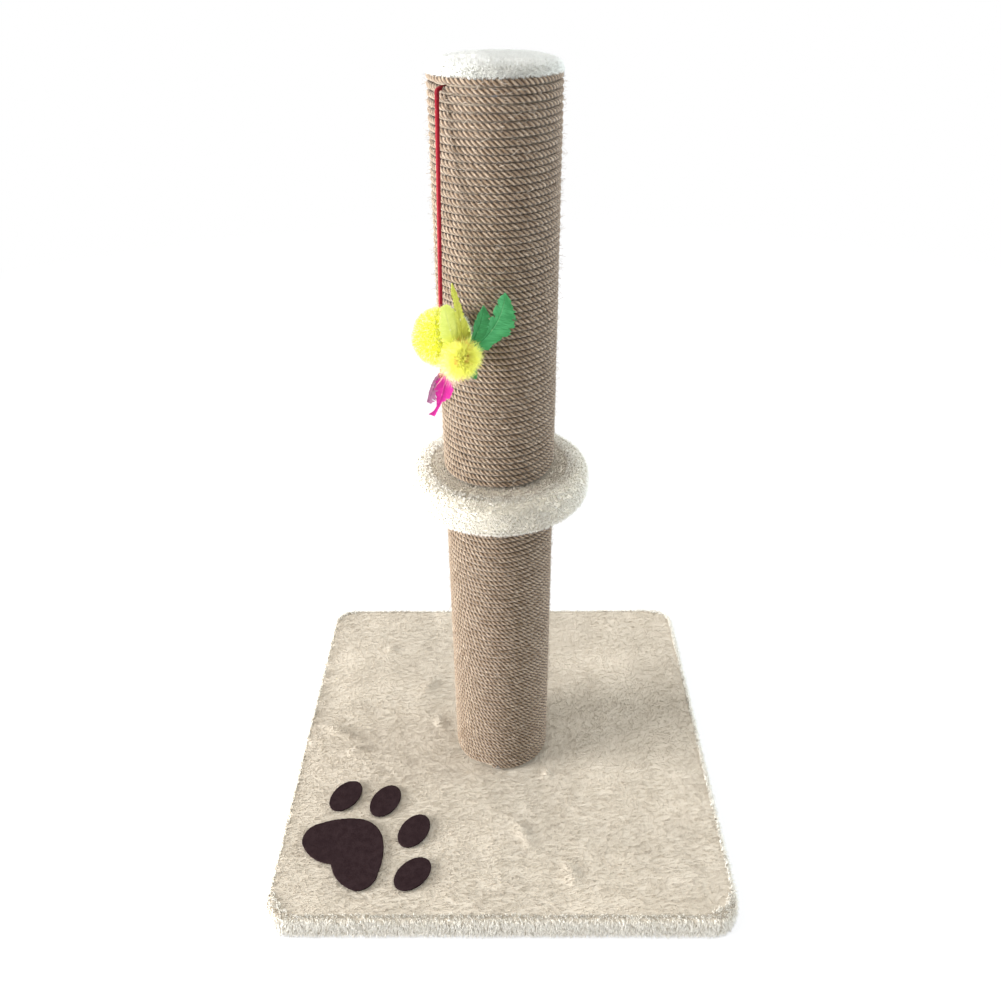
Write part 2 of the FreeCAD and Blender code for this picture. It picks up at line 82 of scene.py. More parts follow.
# %% [markdown]
# ## The camera
# The photograph was taken from in front, a little above the cap, looking down at the base. A camera is
# set by where it stands and by three turns: yaw about the vertical, pitch downwards and a slight roll.

# %% Camera


def add_object(name, data):
    """Put a new object into the scene from its camera, curve, mesh or lamp."""
    made = bpy.data.objects.new(name, data)
    bpy.context.scene.collection.objects.link(made)
    return made


camera_place = Vector((5.937, -472.193, 532.152)) * mm
camera_yaw = -0.0113
camera_pitch = 0.569
camera_roll = -0.0099

camera = add_object("camera", bpy.data.cameras.new("camera"))
camera.data.sensor_width = 36.0
camera.data.lens = 32.06
facing = Matrix.Rotation(-camera_yaw, 4, "Z") @ Matrix.Rotation(math.pi / 2 - camera_pitch, 4, "X")
camera.matrix_world = Matrix.Translation(camera_place) @ facing @ Matrix.Rotation(camera_roll, 4, "Z")
bpy.context.scene.camera = camera
print(f"camera: looks down by {math.degrees(camera_pitch):.0f} degrees")

# %% [markdown]
# ## Shared steps
# An operator acts on whatever is selected, so each step first picks its own piece. Faces and edges are
# selected by a test on their place, as a hand would point at them.

# %% Picking, applying and dressing a piece


def pick(*pieces):
    """Select only these pieces, with the last one active."""
    bpy.ops.object.select_all(action="DESELECT")
    for piece in pieces:
        piece.select_set(True)
    bpy.context.view_layer.objects.active = pieces[-1]


def just_made(name):
    """The object that an operator has just added, under its own name, with its place in its mesh."""
    piece = bpy.context.object
    piece.name = name
    piece.data.name = name
    pick(piece)
    bpy.ops.object.transform_apply(location=True, rotation=True, scale=True)
    return piece


def in_fixed_order(piece):
    """Sort a mesh by place. Spheres and extruded edges come in another order each time they are made."""
    mesh = piece.data
    places = [tuple(vertex.co) for vertex in mesh.vertices]
    by_place = sorted(range(len(places)), key=places.__getitem__)
    numbers = {old: new for new, old in enumerate(by_place)}
    faces = [[numbers[corner] for corner in face.vertices] for face in mesh.polygons]
    starts = [face.index(min(face)) for face in faces]
    faces = sorted(face[start:] + face[:start] for face, start in zip(faces, starts))
    mesh.clear_geometry()
    mesh.from_pydata([places[old] for old in by_place], [], faces)


def apply_modifier(piece, kind, **settings):
    pick(piece)
    modifier = piece.modifiers.new(kind, kind)
    for setting, value in settings.items():
        setattr(modifier, setting, value)
    bpy.ops.object.modifier_apply(modifier=modifier.name)


def smooth(piece):
    pick(piece)
    bpy.ops.object.shade_smooth()


def deselect_all(piece, kind):
    """Leave nothing selected in a mesh, and set which kind of element is picked there."""
    pick(piece)
    bpy.ops.object.mode_set(mode="EDIT")
    bpy.ops.mesh.select_mode(type=kind)
    bpy.ops.mesh.select_all(action="DESELECT")
    bpy.ops.object.mode_set(mode="OBJECT")


def edit_edges(piece, test):
    """Enter edit mode with the edges selected whose two ends pass the test."""
    deselect_all(piece, "EDGE")
    places = piece.data.vertices
    for edge in piece.data.edges:
        edge.select = test(places[edge.vertices[0]].co, places[edge.vertices[1]].co)
    bpy.ops.object.mode_set(mode="EDIT")


def edit_faces(piece, test):
    """Enter edit mode with the faces selected that pass the test."""
    deselect_all(piece, "FACE")
    for face in piece.data.polygons:
        face.select = test(face)
    bpy.ops.object.mode_set(mode="EDIT")


def leave_edit():
    bpy.ops.object.mode_set(mode="OBJECT")


def cut_away(piece, test):
    """Delete the faces that pass the test."""
    edit_faces(piece, test)
    bpy.ops.mesh.delete(type="FACE")
    leave_edit()


def at_level(level):
    """A test for edges whose two ends lie on one level."""
    return lambda a, b: abs(a.z - level) < 0.01 * mm and abs(b.z - level) < 0.01 * mm


def round_rims(piece, roundings, segments):
    """Bevel the edges that lie on each level by that level's radius."""
    for level, rounding in roundings.items():
        edit_edges(piece, at_level(level))
        bpy.ops.mesh.bevel(offset=rounding, segments=segments, affect="EDGES")
        leave_edit()


def dress(piece, body, slot, material, *nodes):
    """Give a piece its material and the body it rides on, or None if it bends between two, and hide the
    imported nodes it replaces.
    """
    piece.data.materials.clear()
    piece.data.materials.append(material)
    if body:
        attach(piece, body)
    if nodes:
        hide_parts(*nodes)
    print(f"{piece.name}: {len(piece.data.polygons)} faces")
    return piece


# %% Measuring and moving


def box_size(node):
    low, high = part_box(node)
    return high - low


def box_middle(node):
    low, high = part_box(node)
    return (low + high) / 2


def mesh_places(piece):
    places = np.empty(len(piece.data.vertices) * 3)
    piece.data.vertices.foreach_get("co", places)
    return places.reshape(-1, 3)


def move_places(piece, places):
    piece.data.vertices.foreach_set("co", np.asarray(places, float).ravel())
    piece.data.update()


def from_axis(places):
    """How far each place is from the post's axis."""
    return np.linalg.norm(places[:, :2], axis=1)


def ramp(values, start, length):
    """Rise from 0 at the start to 1 a length further on, and stay there."""
    return np.clip((values - start) / length, 0, 1)


def unit(vectors):
    return vectors / np.maximum(np.linalg.norm(vectors, axis=-1, keepdims=True), 1e-12)


# %% [markdown]
# ## Shader building blocks
# Cloth, rope and feathers are never one flat colour. Two effects repeat on nearly all of them, so each
# is a node group with named inputs: a soft mottle of two colours, and fine lines drawn out along fibres.

# %% Node helpers


def put(tree, kind, sockets=None, **settings):
    """Add a node. A socket takes another node's output, a number, or a colour as red, green and blue."""
    node = tree.nodes.new(kind)
    for setting, value in settings.items():
        setattr(node, setting, value)
    for socket, value in (sockets or {}).items():
        if isinstance(value, bpy.types.NodeSocket):
            tree.links.new(value, node.inputs[socket])
        elif node.inputs[socket].type == "RGBA":
            node.inputs[socket].default_value = (*value, 1.0)
        else:
            node.inputs[socket].default_value = value
    return node


def mix_colours(tree, share, first, second, **settings):
    mix = put(tree, "ShaderNodeMix", {0: share, 6: first, 7: second}, data_type="RGBA", **settings)
    return mix.outputs[2]


def calculate(tree, operation, first, second=0.0):
    return put(tree, "ShaderNodeMath", {0: first, 1: second}, operation=operation).outputs[0]


def spread(tree, value, low, high, to_low=0.0, to_high=1.0):
    """Stretch the range from low to high over the range from to_low to to_high, and clamp it there."""
    sockets = {"Value": value, "From Min": low, "From Max": high, "To Min": to_low, "To Max": to_high}
    return put(tree, "ShaderNodeMapRange", sockets).outputs["Result"]


def off_middle(tree, value):
    """How far a number between 0 and 1 is from a half."""
    return calculate(tree, "ABSOLUTE", calculate(tree, "SUBTRACT", value, 0.5))


def read_map(tree, name):
    """A map as one vector and as its two numbers."""
    vector = put(tree, "ShaderNodeUVMap", uv_map=name).outputs["UV"]
    numbers = put(tree, "ShaderNodeSeparateXYZ", {"Vector": vector}).outputs
    return vector, numbers["X"], numbers["Y"]


def new_group(name, inputs, outputs):
    tree = bpy.data.node_groups.new(name, "ShaderNodeTree")
    for label, kind in inputs.items():
        tree.interface.new_socket(label, in_out="INPUT", socket_type=kind)
    for label, kind in outputs.items():
        tree.interface.new_socket(label, in_out="OUTPUT", socket_type=kind)
    return tree, put(tree, "NodeGroupInput").outputs, put(tree, "NodeGroupOutput").inputs


# %% Group: a soft mottle
FLOAT, COLOUR, VECTOR = "NodeSocketFloat", "NodeSocketColor", "NodeSocketVector"

inputs = {"Place": VECTOR, "Patches": FLOAT, "Grain": FLOAT, "Dark": COLOUR, "Light": COLOUR}
soft_mottle, given, result = new_group("soft_mottle", inputs, {"Colour": COLOUR, "Height": FLOAT})
patch_noise = {"Vector": given["Place"], "Scale": given["Patches"], "Detail": 4.0}
grain_noise = {"Vector": given["Place"], "Scale": given["Grain"], "Detail": 2.0}
patches = put(soft_mottle, "ShaderNodeTexNoise", patch_noise).outputs["Fac"]
grain = put(soft_mottle, "ShaderNodeTexNoise", grain_noise).outputs["Fac"]
share = spread(soft_mottle, calculate(soft_mottle, "ADD", patches, grain), 0.75, 1.25)
soft_mottle.links.new(mix_colours(soft_mottle, share, given["Dark"], given["Light"]), result["Colour"])
soft_mottle.links.new(grain, result["Height"])
print("inputs of the mottle:", list(inputs))

# %% Group: fibres drawn out along one direction
inputs = {"Place": VECTOR, "Along": FLOAT, "Across": FLOAT}
drawn_fibres, given, result = new_group("drawn_fibres", inputs, {"Height": FLOAT})
axes = {"X": given["Along"], "Y": given["Across"], "Z": given["Across"]}
scale = put(drawn_fibres, "ShaderNodeCombineXYZ", axes).outputs[0]
drawn_out = put(drawn_fibres, "ShaderNodeVectorMath", {0: given["Place"], 1: scale}, operation="MULTIPLY")
noise = {"Vector": drawn_out.outputs[0], "Scale": 1.0, "Detail": 3.0}
drawn_fibres.links.new(put(drawn_fibres, "ShaderNodeTexNoise", noise).outputs["Fac"], result["Height"])
print("inputs of the fibres:", list(inputs))

# %% [markdown]
# ## Materials
# Each finish is a Principled shader whose colour and bump come from these groups. Constants such as the
# sheen sit on the shader itself, where an exported model keeps them. Standing fibres are painted darker at
# the root, a painted shade, and each blade is a little lighter or darker than the next.

# %% Material helpers
cloth_specular = 0.2
metal_specular = 0.5


def new_material(name, roughness, sheen=0.0, metallic=0.0):
    material = bpy.data.materials.new(name)
    material.use_nodes = True
    shader = material.node_tree.nodes["Principled BSDF"]
    shader.inputs["Roughness"].default_value = roughness
    shader.inputs["Metallic"].default_value = metallic
    shader.inputs["Sheen Weight"].default_value = sheen
    shader.inputs["Specular IOR Level"].default_value = metal_specular if metallic else cloth_specular
    return material, material.node_tree, shader


def object_place(tree):
    return put(tree, "ShaderNodeTexCoord").outputs["Object"]


def add_mottle(tree, patch, grain_size, dark, light):
    """The mottle group, its patches and grain given as sizes in metres."""
    sizes = {"Place": object_place(tree), "Patches": 1 / patch, "Grain": 1 / grain_size}
    node = put(tree, "ShaderNodeGroup", {**sizes, "Dark": dark, "Light": light}, node_tree=soft_mottle)
    return node.outputs["Colour"], node.outputs["Height"]


def add_fibres(tree, place, along, across):
    sockets = {"Place": place, "Along": along, "Across": across}
    return put(tree, "ShaderNodeGroup", sockets, node_tree=drawn_fibres).outputs["Height"]


def add_bump(tree, shader, height, depth):
    bump = put(tree, "ShaderNodeBump", {"Height": height, "Distance": depth, "Strength": 1.0})
    tree.links.new(bump.outputs["Normal"], shader.inputs["Normal"])


def mottled_material(name, roughness, dark, light, patch, grain_size, depth, sheen=0.0, metallic=0.0):
    material, tree, shader = new_material(name, roughness, sheen, metallic)
    mottle, height = add_mottle(tree, patch, grain_size, dark, light)
    tree.links.new(mottle, shader.inputs["Base Color"])
    add_bump(tree, shader, height, depth)
    return material


def cloth_material(name, dark, light, patch):
    """The woven ground of a plush, which shows between the blades, painted darker than them as painted shade.
    """
    return mottled_material(name, 1.0, dark, light, patch, 1.0 * mm, 0.15 * mm, 0.1)


def pile_material(name, root, tip, patch_dark, patch_light, patch):
    """Standing fibres. Their map holds a random number for the blade and the height along it."""
    material, tree, shader = new_material(name, 0.9, sheen=0.15)
    _, number, height = read_map(tree, "blade")
    # Painted shade: each blade runs from a darker colour at its root to a paler one towards its tip.
    shaft = mix_colours(tree, spread(tree, height, 0.0, 0.7), root, tip)
    mottle, _ = add_mottle(tree, patch, patch / 5, patch_dark, patch_light)
    tinted = mix_colours(tree, 1.0, shaft, mottle, blend_type="MULTIPLY")
    own_light = spread(tree, number, 0.0, 1.0, 0.92, 1.04)
    lit = put(tree, "ShaderNodeHueSaturation", {"Color": tinted, "Value": own_light})
    tree.links.new(lit.outputs["Color"], shader.inputs["Base Color"])
    return material


# %% Materials of the plush
white = (1.0, 1.0, 1.0)
# One plush in copies of painted brightness. The pile on the tops is painted darker, as painted shade, and the
# tufts round the edges and the ring's cloth paler, as painted light. Each cloth is painted darker than its
# pile, as shade between the blades.
plush_cloth = cloth_material("plush_cloth", (0.51, 0.45, 0.36), (0.59, 0.525, 0.43), 25 * mm)
cream_cloth_painted_paler = cloth_material("cream_cloth_painted_paler", (0.76, 0.71, 0.60), (0.84, 0.79, 0.68), 12 * mm)
# The cap's cloth and pile are painted paler than the base's, as painted light from above.
white_cloth_painted_paler = cloth_material("cap_white_painted_paler", (0.78, 0.77, 0.72), (0.84, 0.83, 0.78), 12 * mm)
plush_pile_painted_darker = pile_material(
    "plush_pile_painted_darker", (0.59, 0.52, 0.42), (0.655, 0.585, 0.48), (0.92, 0.90, 0.90), white, 24 * mm
)
plush_tufts_painted_paler = pile_material(
    "plush_tufts_painted_paler", (0.85, 0.80, 0.70), (0.94, 0.90, 0.81), (0.94, 0.93, 0.92), white, 9 * mm
)
white_pile_painted_paler = pile_material(
    "cap_pile_painted_paler", (0.84, 0.83, 0.77), (0.90, 0.89, 0.83), (0.95, 0.95, 0.95), white, 10 * mm
)
print("materials:", [material.name for material in bpy.data.materials])

# %% [markdown]
# ## The elastic cord
# The cord comes out between the top two turns of rope, bends over them at once and hangs straight down
# to the toy. Its route has few points, and a smooth spline with those points as its control points is
# its centre line. A point just below the bend keeps the long straight run straight.

# %% Route of the cord
cord_thickness = 2.1 * mm
cord_exit = Vector((-0.024821, -0.022349, 0.470993))
cord_corner = Vector((-0.026573, -0.025027, 0.470993))
knot_middle = Vector((-0.028747, -0.046703, 0.337066))
cord_down = (knot_middle - cord_corner).normalized()
below_corner = cord_corner + cord_down * (cord_corner - cord_exit).length
cord_route = [cord_exit, cord_corner, below_corner, knot_middle]


def smooth_line(points, steps):
    """Points along the NURBS spline that has these control points."""
    curve = bpy.data.curves.new("route", "CURVE")
    curve.dimensions = "3D"
    curve.resolution_u = steps
    spline = curve.splines.new("NURBS")
    spline.points.add(len(points) - 1)
    for target, point in zip(spline.points, points):
        target.co = (*point, 1.0)
    spline.order_u = 3
    spline.use_endpoint_u = True
    route = bpy.data.objects.new("route", curve)
    line = [vertex.co.copy() for vertex in bpy.data.meshes.new_from_object(route).vertices]
    bpy.data.objects.remove(route)
    return line


cord_line = smooth_line(cord_route, 40)
print(f"cord centre line: {sum((b - a).length for a, b in zip(cord_line, cord_line[1:])) / mm:.1f} mm")

# %% [markdown]
# A tube or a rope is a curve with a section swept along it, made into a mesh.

# %% Sweeping along a line


def line_of(name, points, dimensions="3D"):
    """A curve that runs straight from point to point."""
    curve = bpy.data.curves.new(name, "CURVE")
    curve.dimensions = dimensions
    spline = curve.splines.new("POLY")
    spline.points.add(len(points) - 1)
    spline.points.foreach_set("co", np.column_stack([np.array(points), np.ones(len(points))]).ravel())
    return curve, spline


def swept(name, curve):
    """The mesh of a curve's section swept along it, with closed ends."""
    curve.use_fill_caps = True
    pick(add_object(name, curve))
    bpy.ops.object.convert(target="MESH")
    return bpy.context.object


def tube_along(name, points, thickness, roundness=4, radii=1.0):
    """A closed round tube along these points."""
    curve, spline = line_of(name, points)
    curve.bevel_depth = thickness / 2
    curve.bevel_resolution = roundness
    spline.points.foreach_set("radius", np.ones(len(points)) * radii)
    tube = swept(name, curve)
    bpy.ops.object.shade_smooth_by_angle(angle=math.radians(50))
    return tube


# %% [markdown]
# The cord is three pieces on one line: a stub in its hole, an arch where the real cord bends as the toy
# is pulled away, and the run where it stretches. The sleeve is braided from fine red yarn, which leans both
# ways.

# %% Material of the cord
braid_turns = 110.0
yarns_round = 5.0

elastic_braid, tree, shader = new_material("elastic_braid", 0.55)
_, along_cord, round_cord = read_map(tree, "UVMap")
turns = calculate(tree, "MULTIPLY", along_cord, braid_turns)
yarns = calculate(tree, "MULTIPLY", round_cord, yarns_round)
leans = [
    calculate(tree, "SINE", calculate(tree, "MULTIPLY", calculate(tree, way, turns, yarns), tau))
    for way in ("ADD", "SUBTRACT")
]
braid = spread(tree, calculate(tree, "MULTIPLY", *leans), -1.0, 1.0)
red_yarn = mix_colours(tree, braid, (0.12, 0.001, 0.006), (0.40, 0.003, 0.018))
tree.links.new(red_yarn, shader.inputs["Base Color"])
add_bump(tree, shader, braid, 0.15 * mm)

# %% Cord pieces
hidden_stub = 6 * mm
before_arch = 1.2 * mm
below_bend = 3 * mm
bend_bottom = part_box("cord_exit_bend")[0].z
arch_end = next(n for n, point in enumerate(cord_line) if point.z < bend_bottom - below_bend)
arch_start = next(n for n, point in enumerate(cord_line) if (point - cord_exit).length > before_arch)
stub_start = cord_exit - (cord_corner - cord_exit).normalized() * hidden_stub

cord_stub = tube_along("cord_stub", [stub_start] + cord_line[: arch_start + 1], cord_thickness)
dress(cord_stub, "post", "elastic", elastic_braid, "cord_anchor")
cord_arch = tube_along("cord_arch", cord_line[arch_start : arch_end + 1], cord_thickness)
dress(cord_arch, None, "elastic", elastic_braid, "cord_exit_bend")
cord_run = tube_along("cord_run", cord_line[arch_end:], cord_thickness)
dress(cord_run, None, "elastic", elastic_braid, "elastic_cord")

# %% [markdown]
# The stop knot under the ball is a real overhand knot: a short tube follows a trefoil, and its cut end
# stands out below.

# %% Knot
knot_reach = 0.52 * mm
knot_steps = 48
knot_tail = 4.5 * mm
pulled_tight = 1.7 * mm


def knot_point(turn):
    angle = turn * tau
    x = math.sin(angle) + 2 * math.sin(2 * angle)
    y = math.cos(angle) - 2 * math.cos(2 * angle)
    z = -math.sin(3 * angle)
    return knot_middle + Vector((x, y, 1.3 * z)) * knot_reach


knot_line = [knot_point(step / knot_steps) for step in range(knot_steps)]
knot_line.append(knot_line[-1] + cord_down * knot_tail)
stop_knot = tube_along("stop_knot", knot_line, pulled_tight, roundness=3)
dress(stop_knot, "knot", "elastic", elastic_braid, "cord_knot")

# %% [markdown]
# ## Rope
# The rope is three strands laid to the right, about 3.5 mm thick. A curve swept with a three-lobed
# section and turned a little more at each point gives real strands with real grooves, which no bump
# can do at the edge of the post. Sixty turns climb each tube, split into runs to keep meshes small.

# %% Rope sizes
rope_thickness = 3.5 * mm
rope_lay = 8.4 * mm
rings_per_lay = 8
rope_turns = 60
rope_runs = 3
turns_per_run = rope_turns / rope_runs
rope_starts = {"lower": math.radians(258), "upper": math.radians(2)}
rope_seat = 0.05 * mm
rope_path_radius = box_size("lower_tube").x / 2 + rope_thickness / 2
post_radius = rope_path_radius + rope_thickness / 2
turn_length = tau * rope_path_radius
lays_per_turn = turn_length / rope_lay
print(f"rope on each tube: {rope_turns * turn_length:.1f} m")

# %% Section of the rope
strands = 3
groove = 0.62
shoulder = 0.93


def rope_section():
    """A closed curve with a groove, a shoulder, a crest and a shoulder for each strand."""
    reaches = np.array([groove, shoulder, 1.0, shoulder] * strands) * rope_thickness / 2
    angles = -tau * np.arange(len(reaches)) / len(reaches)
    points = np.column_stack([reaches * np.cos(angles), reaches * np.sin(angles), np.zeros(len(reaches))])
    curve, spline = line_of("rope_section", points, "2D")
    spline.use_cyclic_u = True
    return add_object("rope_section", curve)


# %% [markdown]
# Hand-wound rope isn't even: it swells, thins and rides up a little. A few slow sine waves of unequal
# lengths do this the same way at each run, so that the end of one run meets the start of the next. The
# first and last turns lie level on the base, the ring and the cap, and step up where the turn closes.

# %% Winding
level_turns = 7
step_from = 0.88
wander = 0.10 * mm


def unevenness(turn, shift):
    return (np.sin(turn * 2.9 + shift) + np.sin(turn * 7.7 + 2 * shift) + np.sin(turn * 19.3 + 3 * shift)) / 3


def settled(turns):
    """Pitches climbed after some turns from an end, near which the turns lie level and step up at once."""
    share = turns % 1.0
    step = ramp(share, step_from, 1 - step_from)
    level = 1 - ramp(turns, 0, level_turns)
    return turns + level * (step**2 * (3 - 2 * step) - share)


def climbed(turn):
    return settled(turn) + rope_turns - turn - settled(rope_turns - turn)


def rope_centre(tube, turn):
    """Centre line of the rope on one tube at a number of turns from its lower end."""
    low, high = (corner.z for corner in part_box(f"{tube}_tube"))
    first = low + rope_thickness / 2 + rope_seat
    last = high - rope_thickness / 2 - rope_seat
    angle = rope_starts[tube] + tau * turn
    radius = rope_path_radius + wander * unevenness(turn, 1.0)
    height = first + (last - first) * climbed(turn) / rope_turns + wander * unevenness(turn, 4.0)
    return np.stack([radius * np.cos(angle), radius * np.sin(angle), height], axis=-1)


def rope_run(name, tube, section, run):
    rings = round(turns_per_run * lays_per_turn * rings_per_lay) + 1
    turn = np.linspace(run * turns_per_run, (run + 1) * turns_per_run, rings)
    curve, spline = line_of(name, rope_centre(tube, turn))
    curve.twist_mode = "Z_UP"
    curve.bevel_mode = "OBJECT"
    curve.bevel_object = section
    lays = turn * lays_per_turn + 0.15 * unevenness(turn, 2.0)
    spline.points.foreach_set("tilt", (lays % 1.0) * tau)
    spline.points.foreach_set("radius", 0.985 + 0.04 * unevenness(turn, 3.0))
    winding = swept(name, curve)
    smooth(winding)
    return winding


# %% [markdown]
# The colour follows the strands. Fine lines run along the fibres, broad patches are straw from
# different stalks, and painted shade darkens the grooves between the strands.

# %% Material of the rope
jute, tree, shader = new_material("jute", 0.85, sheen=0.3)
_, share_along, share_round = read_map(tree, "UVMap")
along_rope = calculate(tree, "MULTIPLY", share_along, turn_length * turns_per_run)
round_rope = calculate(tree, "MULTIPLY", share_round, tau * rope_thickness / 2)
rope_place = put(tree, "ShaderNodeCombineXYZ", {"X": along_rope, "Y": round_rope}).outputs[0]
rope_lines = add_fibres(tree, rope_place, 500.0, 5000.0)
rope_patches = spread(tree, add_fibres(tree, rope_place, 140.0, 500.0), 0.35, 0.65)
in_strand = calculate(tree, "FRACT", calculate(tree, "MULTIPLY", share_round, float(strands)))
crest = spread(tree, off_middle(tree, in_strand), 0.46, 0.12)
straw = mix_colours(tree, rope_patches, (0.26, 0.175, 0.10), (0.62, 0.49, 0.355))
fibrous = mix_colours(tree, spread(tree, rope_lines, 0.38, 0.58), (0.17, 0.105, 0.06), straw)
# Painted shade: the grooves between the strands are painted nearly black, and the crests keep the straw's
# colour.
painted_groove_shade = mix_colours(tree, crest, (0.06, 0.035, 0.02), fibrous)
tree.links.new(painted_groove_shade, shader.inputs["Base Color"])
add_bump(tree, shader, rope_lines, 0.25 * mm)

# %% Wind both tubes
section = rope_section()
for tube in ("lower", "upper"):
    for run in range(rope_runs):
        winding = rope_run(f"{tube}_rope_strands_{run + 1}", tube, section, run)
        dress(winding, "post", "rope", jute, f"{tube}_rope_run_{run + 1}")
bpy.data.objects.remove(section)

# %% [markdown]
# ## Blades: the unit of every pile
# Plush, fluff and stray rope hairs are all thin blades. Two are modelled by hand, each a three-sided
# spike, a metre long and a metre wide, that stands on the origin: a straight one, and one with a joint
# so that it can curve. Each copy is then scaled, turned and bent into its own place, and all copies of a
# pile are one mesh.

# %% Model the two blades


def straight_blade():
    bpy.ops.mesh.primitive_cone_add(vertices=3, radius1=0.5, radius2=0, depth=1, location=(0, 0, 0.5))
    return just_made("straight_blade")


def jointed_blade():
    """A spike with a joint half way up its shaft, above which it narrows to a point."""
    bpy.ops.mesh.primitive_cylinder_add(vertices=3, radius=0.5, depth=0.5, location=(0, 0, 0.25))
    blade = just_made("jointed_blade")
    edit_faces(blade, lambda face: face.normal.z > 0.9)
    bpy.ops.mesh.extrude_region_move(TRANSFORM_OT_translate={"value": (0, 0, 0.5)})
    bpy.ops.mesh.merge(type="CENTER")
    leave_edit()
    return blade


class Blade:
    """The places and faces of one blade, read once and copied many times."""

    def __init__(self, piece):
        self.places = mesh_places(piece)
        self.sizes = np.array([len(face.vertices) for face in piece.data.polygons])
        self.corners = np.array([corner for face in piece.data.polygons for corner in face.vertices])
        bpy.data.objects.remove(piece)


short_blade = Blade(straight_blade())
curved_blade = Blade(jointed_blade())
print("corners of a short and a curved blade:", len(short_blade.places), len(curved_blade.places))

# %% [markdown]
# A pile needs places to grow. They are strewn over a mesh evenly by area. Blades then gather into
# tufts, as brushed pile does: a few blades lead, and the others lean towards the leader nearest to them.

# %% Strew, gather and grow


def strew(piece, count, chance, wanted=None):
    """Random places on a mesh and the normals there, only on triangles that are wanted."""
    mesh = piece.data
    mesh.calc_loop_triangles()
    corners = np.empty(len(mesh.loop_triangles) * 3, np.int32)
    mesh.loop_triangles.foreach_get("vertices", corners)
    first, second, third = mesh_places(piece)[corners.reshape(-1, 3)].transpose(1, 0, 2)
    normals = np.cross(second - first, third - first)
    areas = np.linalg.norm(normals, axis=1)
    normals = normals / np.maximum(areas, 1e-12)[:, None]
    if wanted:
        areas = areas * wanted((first + second + third) / 3, normals)
    chosen = chance.choice(len(areas), count, p=areas / areas.sum())
    right, up = chance.random((2, count, 1))
    outside = right + up > 1
    right, up = np.where(outside, 1 - right, right), np.where(outside, 1 - up, up)
    places = first[chosen] + right * (second - first)[chosen] + up * (third - first)[chosen]
    return places, normals[chosen]


def gather(roots, reaches, tufts, strength, chance):
    """Lean every tip towards the tip of the nearest of a few leading blades."""
    leaders = chance.choice(len(roots), tufts, replace=False)
    tree = KDTree(tufts)
    for number, leader in enumerate(leaders):
        tree.insert(roots[leader], number)
    tree.balance()
    nearest = leaders[[tree.find(root)[1] for root in roots]]
    tips = roots + reaches
    return reaches + (tips[nearest] - tips) * strength


def grow(name, blade, roots, reaches, widths, chance, bends=None):
    """One mesh of blades from their roots, each reach long, bent sideways half way by bends."""
    count = len(roots)
    side = unit(np.cross(reaches, chance.normal(size=(count, 3))))
    other_side = unit(np.cross(reaches, side))
    across, over, along = blade.places.T
    shape = roots[:, None] + reaches[:, None] * along[:, None]
    broad = side[:, None] * across[:, None] + other_side[:, None] * over[:, None]
    shape = shape + widths[:, None, None] * broad
    if bends is not None:
        shape = shape + bends[:, None] * (4 * along * (1 - along))[:, None]
    mesh = bpy.data.meshes.new(name)
    mesh.vertices.add(shape.size // 3)
    mesh.vertices.foreach_set("co", shape.ravel())
    corners = (blade.corners + np.arange(count)[:, None] * len(blade.places)).ravel()
    sizes = np.tile(blade.sizes, count)
    mesh.loops.add(len(corners))
    mesh.loops.foreach_set("vertex_index", corners.astype(np.int32))
    mesh.polygons.add(len(sizes))
    mesh.polygons.foreach_set("loop_start", (np.cumsum(sizes) - sizes).astype(np.int32))
    mesh.polygons.foreach_set("use_smooth", np.ones(len(sizes), bool))
    mesh.update(calc_edges=True)
    blade_map = mesh.uv_layers.new(name="blade")
    numbers = np.repeat(chance.random(count), len(blade.corners))
    heights = np.tile(along[blade.corners], count)
    blade_map.data.foreach_set("uv", np.column_stack([numbers, heights]).ravel().astype(np.float32))
    return add_object(name, mesh)


def scatter(count, amount, chance):
    """A small random turn for each blade."""
    return chance.normal(0, amount, (count, 3))


# %% [markdown]
# ## Stray hairs on the rope
# Jute sheds: fine pale hairs stand off every turn and soften the outline of the post.

# %% Rope hairs
hair_thickness = 0.13 * mm
hairs_per_tube = 5500
upwards = np.array([0, 0, 1])

jute_hair, tree, shader = new_material("jute_hair", 0.7, sheen=0.3)
_, number, _ = read_map(tree, "blade")
hair_tone = mix_colours(tree, number, (0.32, 0.23, 0.15), (0.66, 0.56, 0.44))
tree.links.new(hair_tone, shader.inputs["Base Color"])


def rope_hairs(tube, count, chance):
    turn = chance.uniform(0.2, rope_turns - 0.2, count)
    centre = rope_centre(tube, turn)
    outward = unit(centre * [1, 1, 0])
    forward = np.cross(upwards, outward)
    lift = np.radians(chance.uniform(-50, 50, count))[:, None]
    away = outward * np.cos(lift) + upwards * np.sin(lift)
    roots = centre + away * rope_thickness * 0.42
    lengths = chance.uniform(1.5, 6.0, count)[:, None] * mm
    sideways = chance.choice([-1, 1], count)[:, None] * forward
    leaning = sideways + away * chance.uniform(0.0, 0.7, count)[:, None]
    reaches = unit(leaning + scatter(count, 0.25, chance)) * lengths
    bends = (away * 0.15 + scatter(count, 0.12, chance)) * lengths
    widths = np.full(count, hair_thickness)
    hairs = grow(f"{tube}_rope_hairs", curved_blade, roots, reaches, widths, chance, bends)
    dress(hairs, "post", "rope", jute_hair)


for seed, tube in enumerate(("lower", "upper")):
    rope_hairs(tube, hairs_per_tube, np.random.default_rng(seed))

# %% [markdown]
# ## The base
# The cover is a sheet of plush stretched over the board and stapled under it, so it is modelled as
# cloth: a rounded slab, remeshed evenly, opened below inside the hem and given its thickness. The
# cloth lies a pile's depth inside the finished surface.

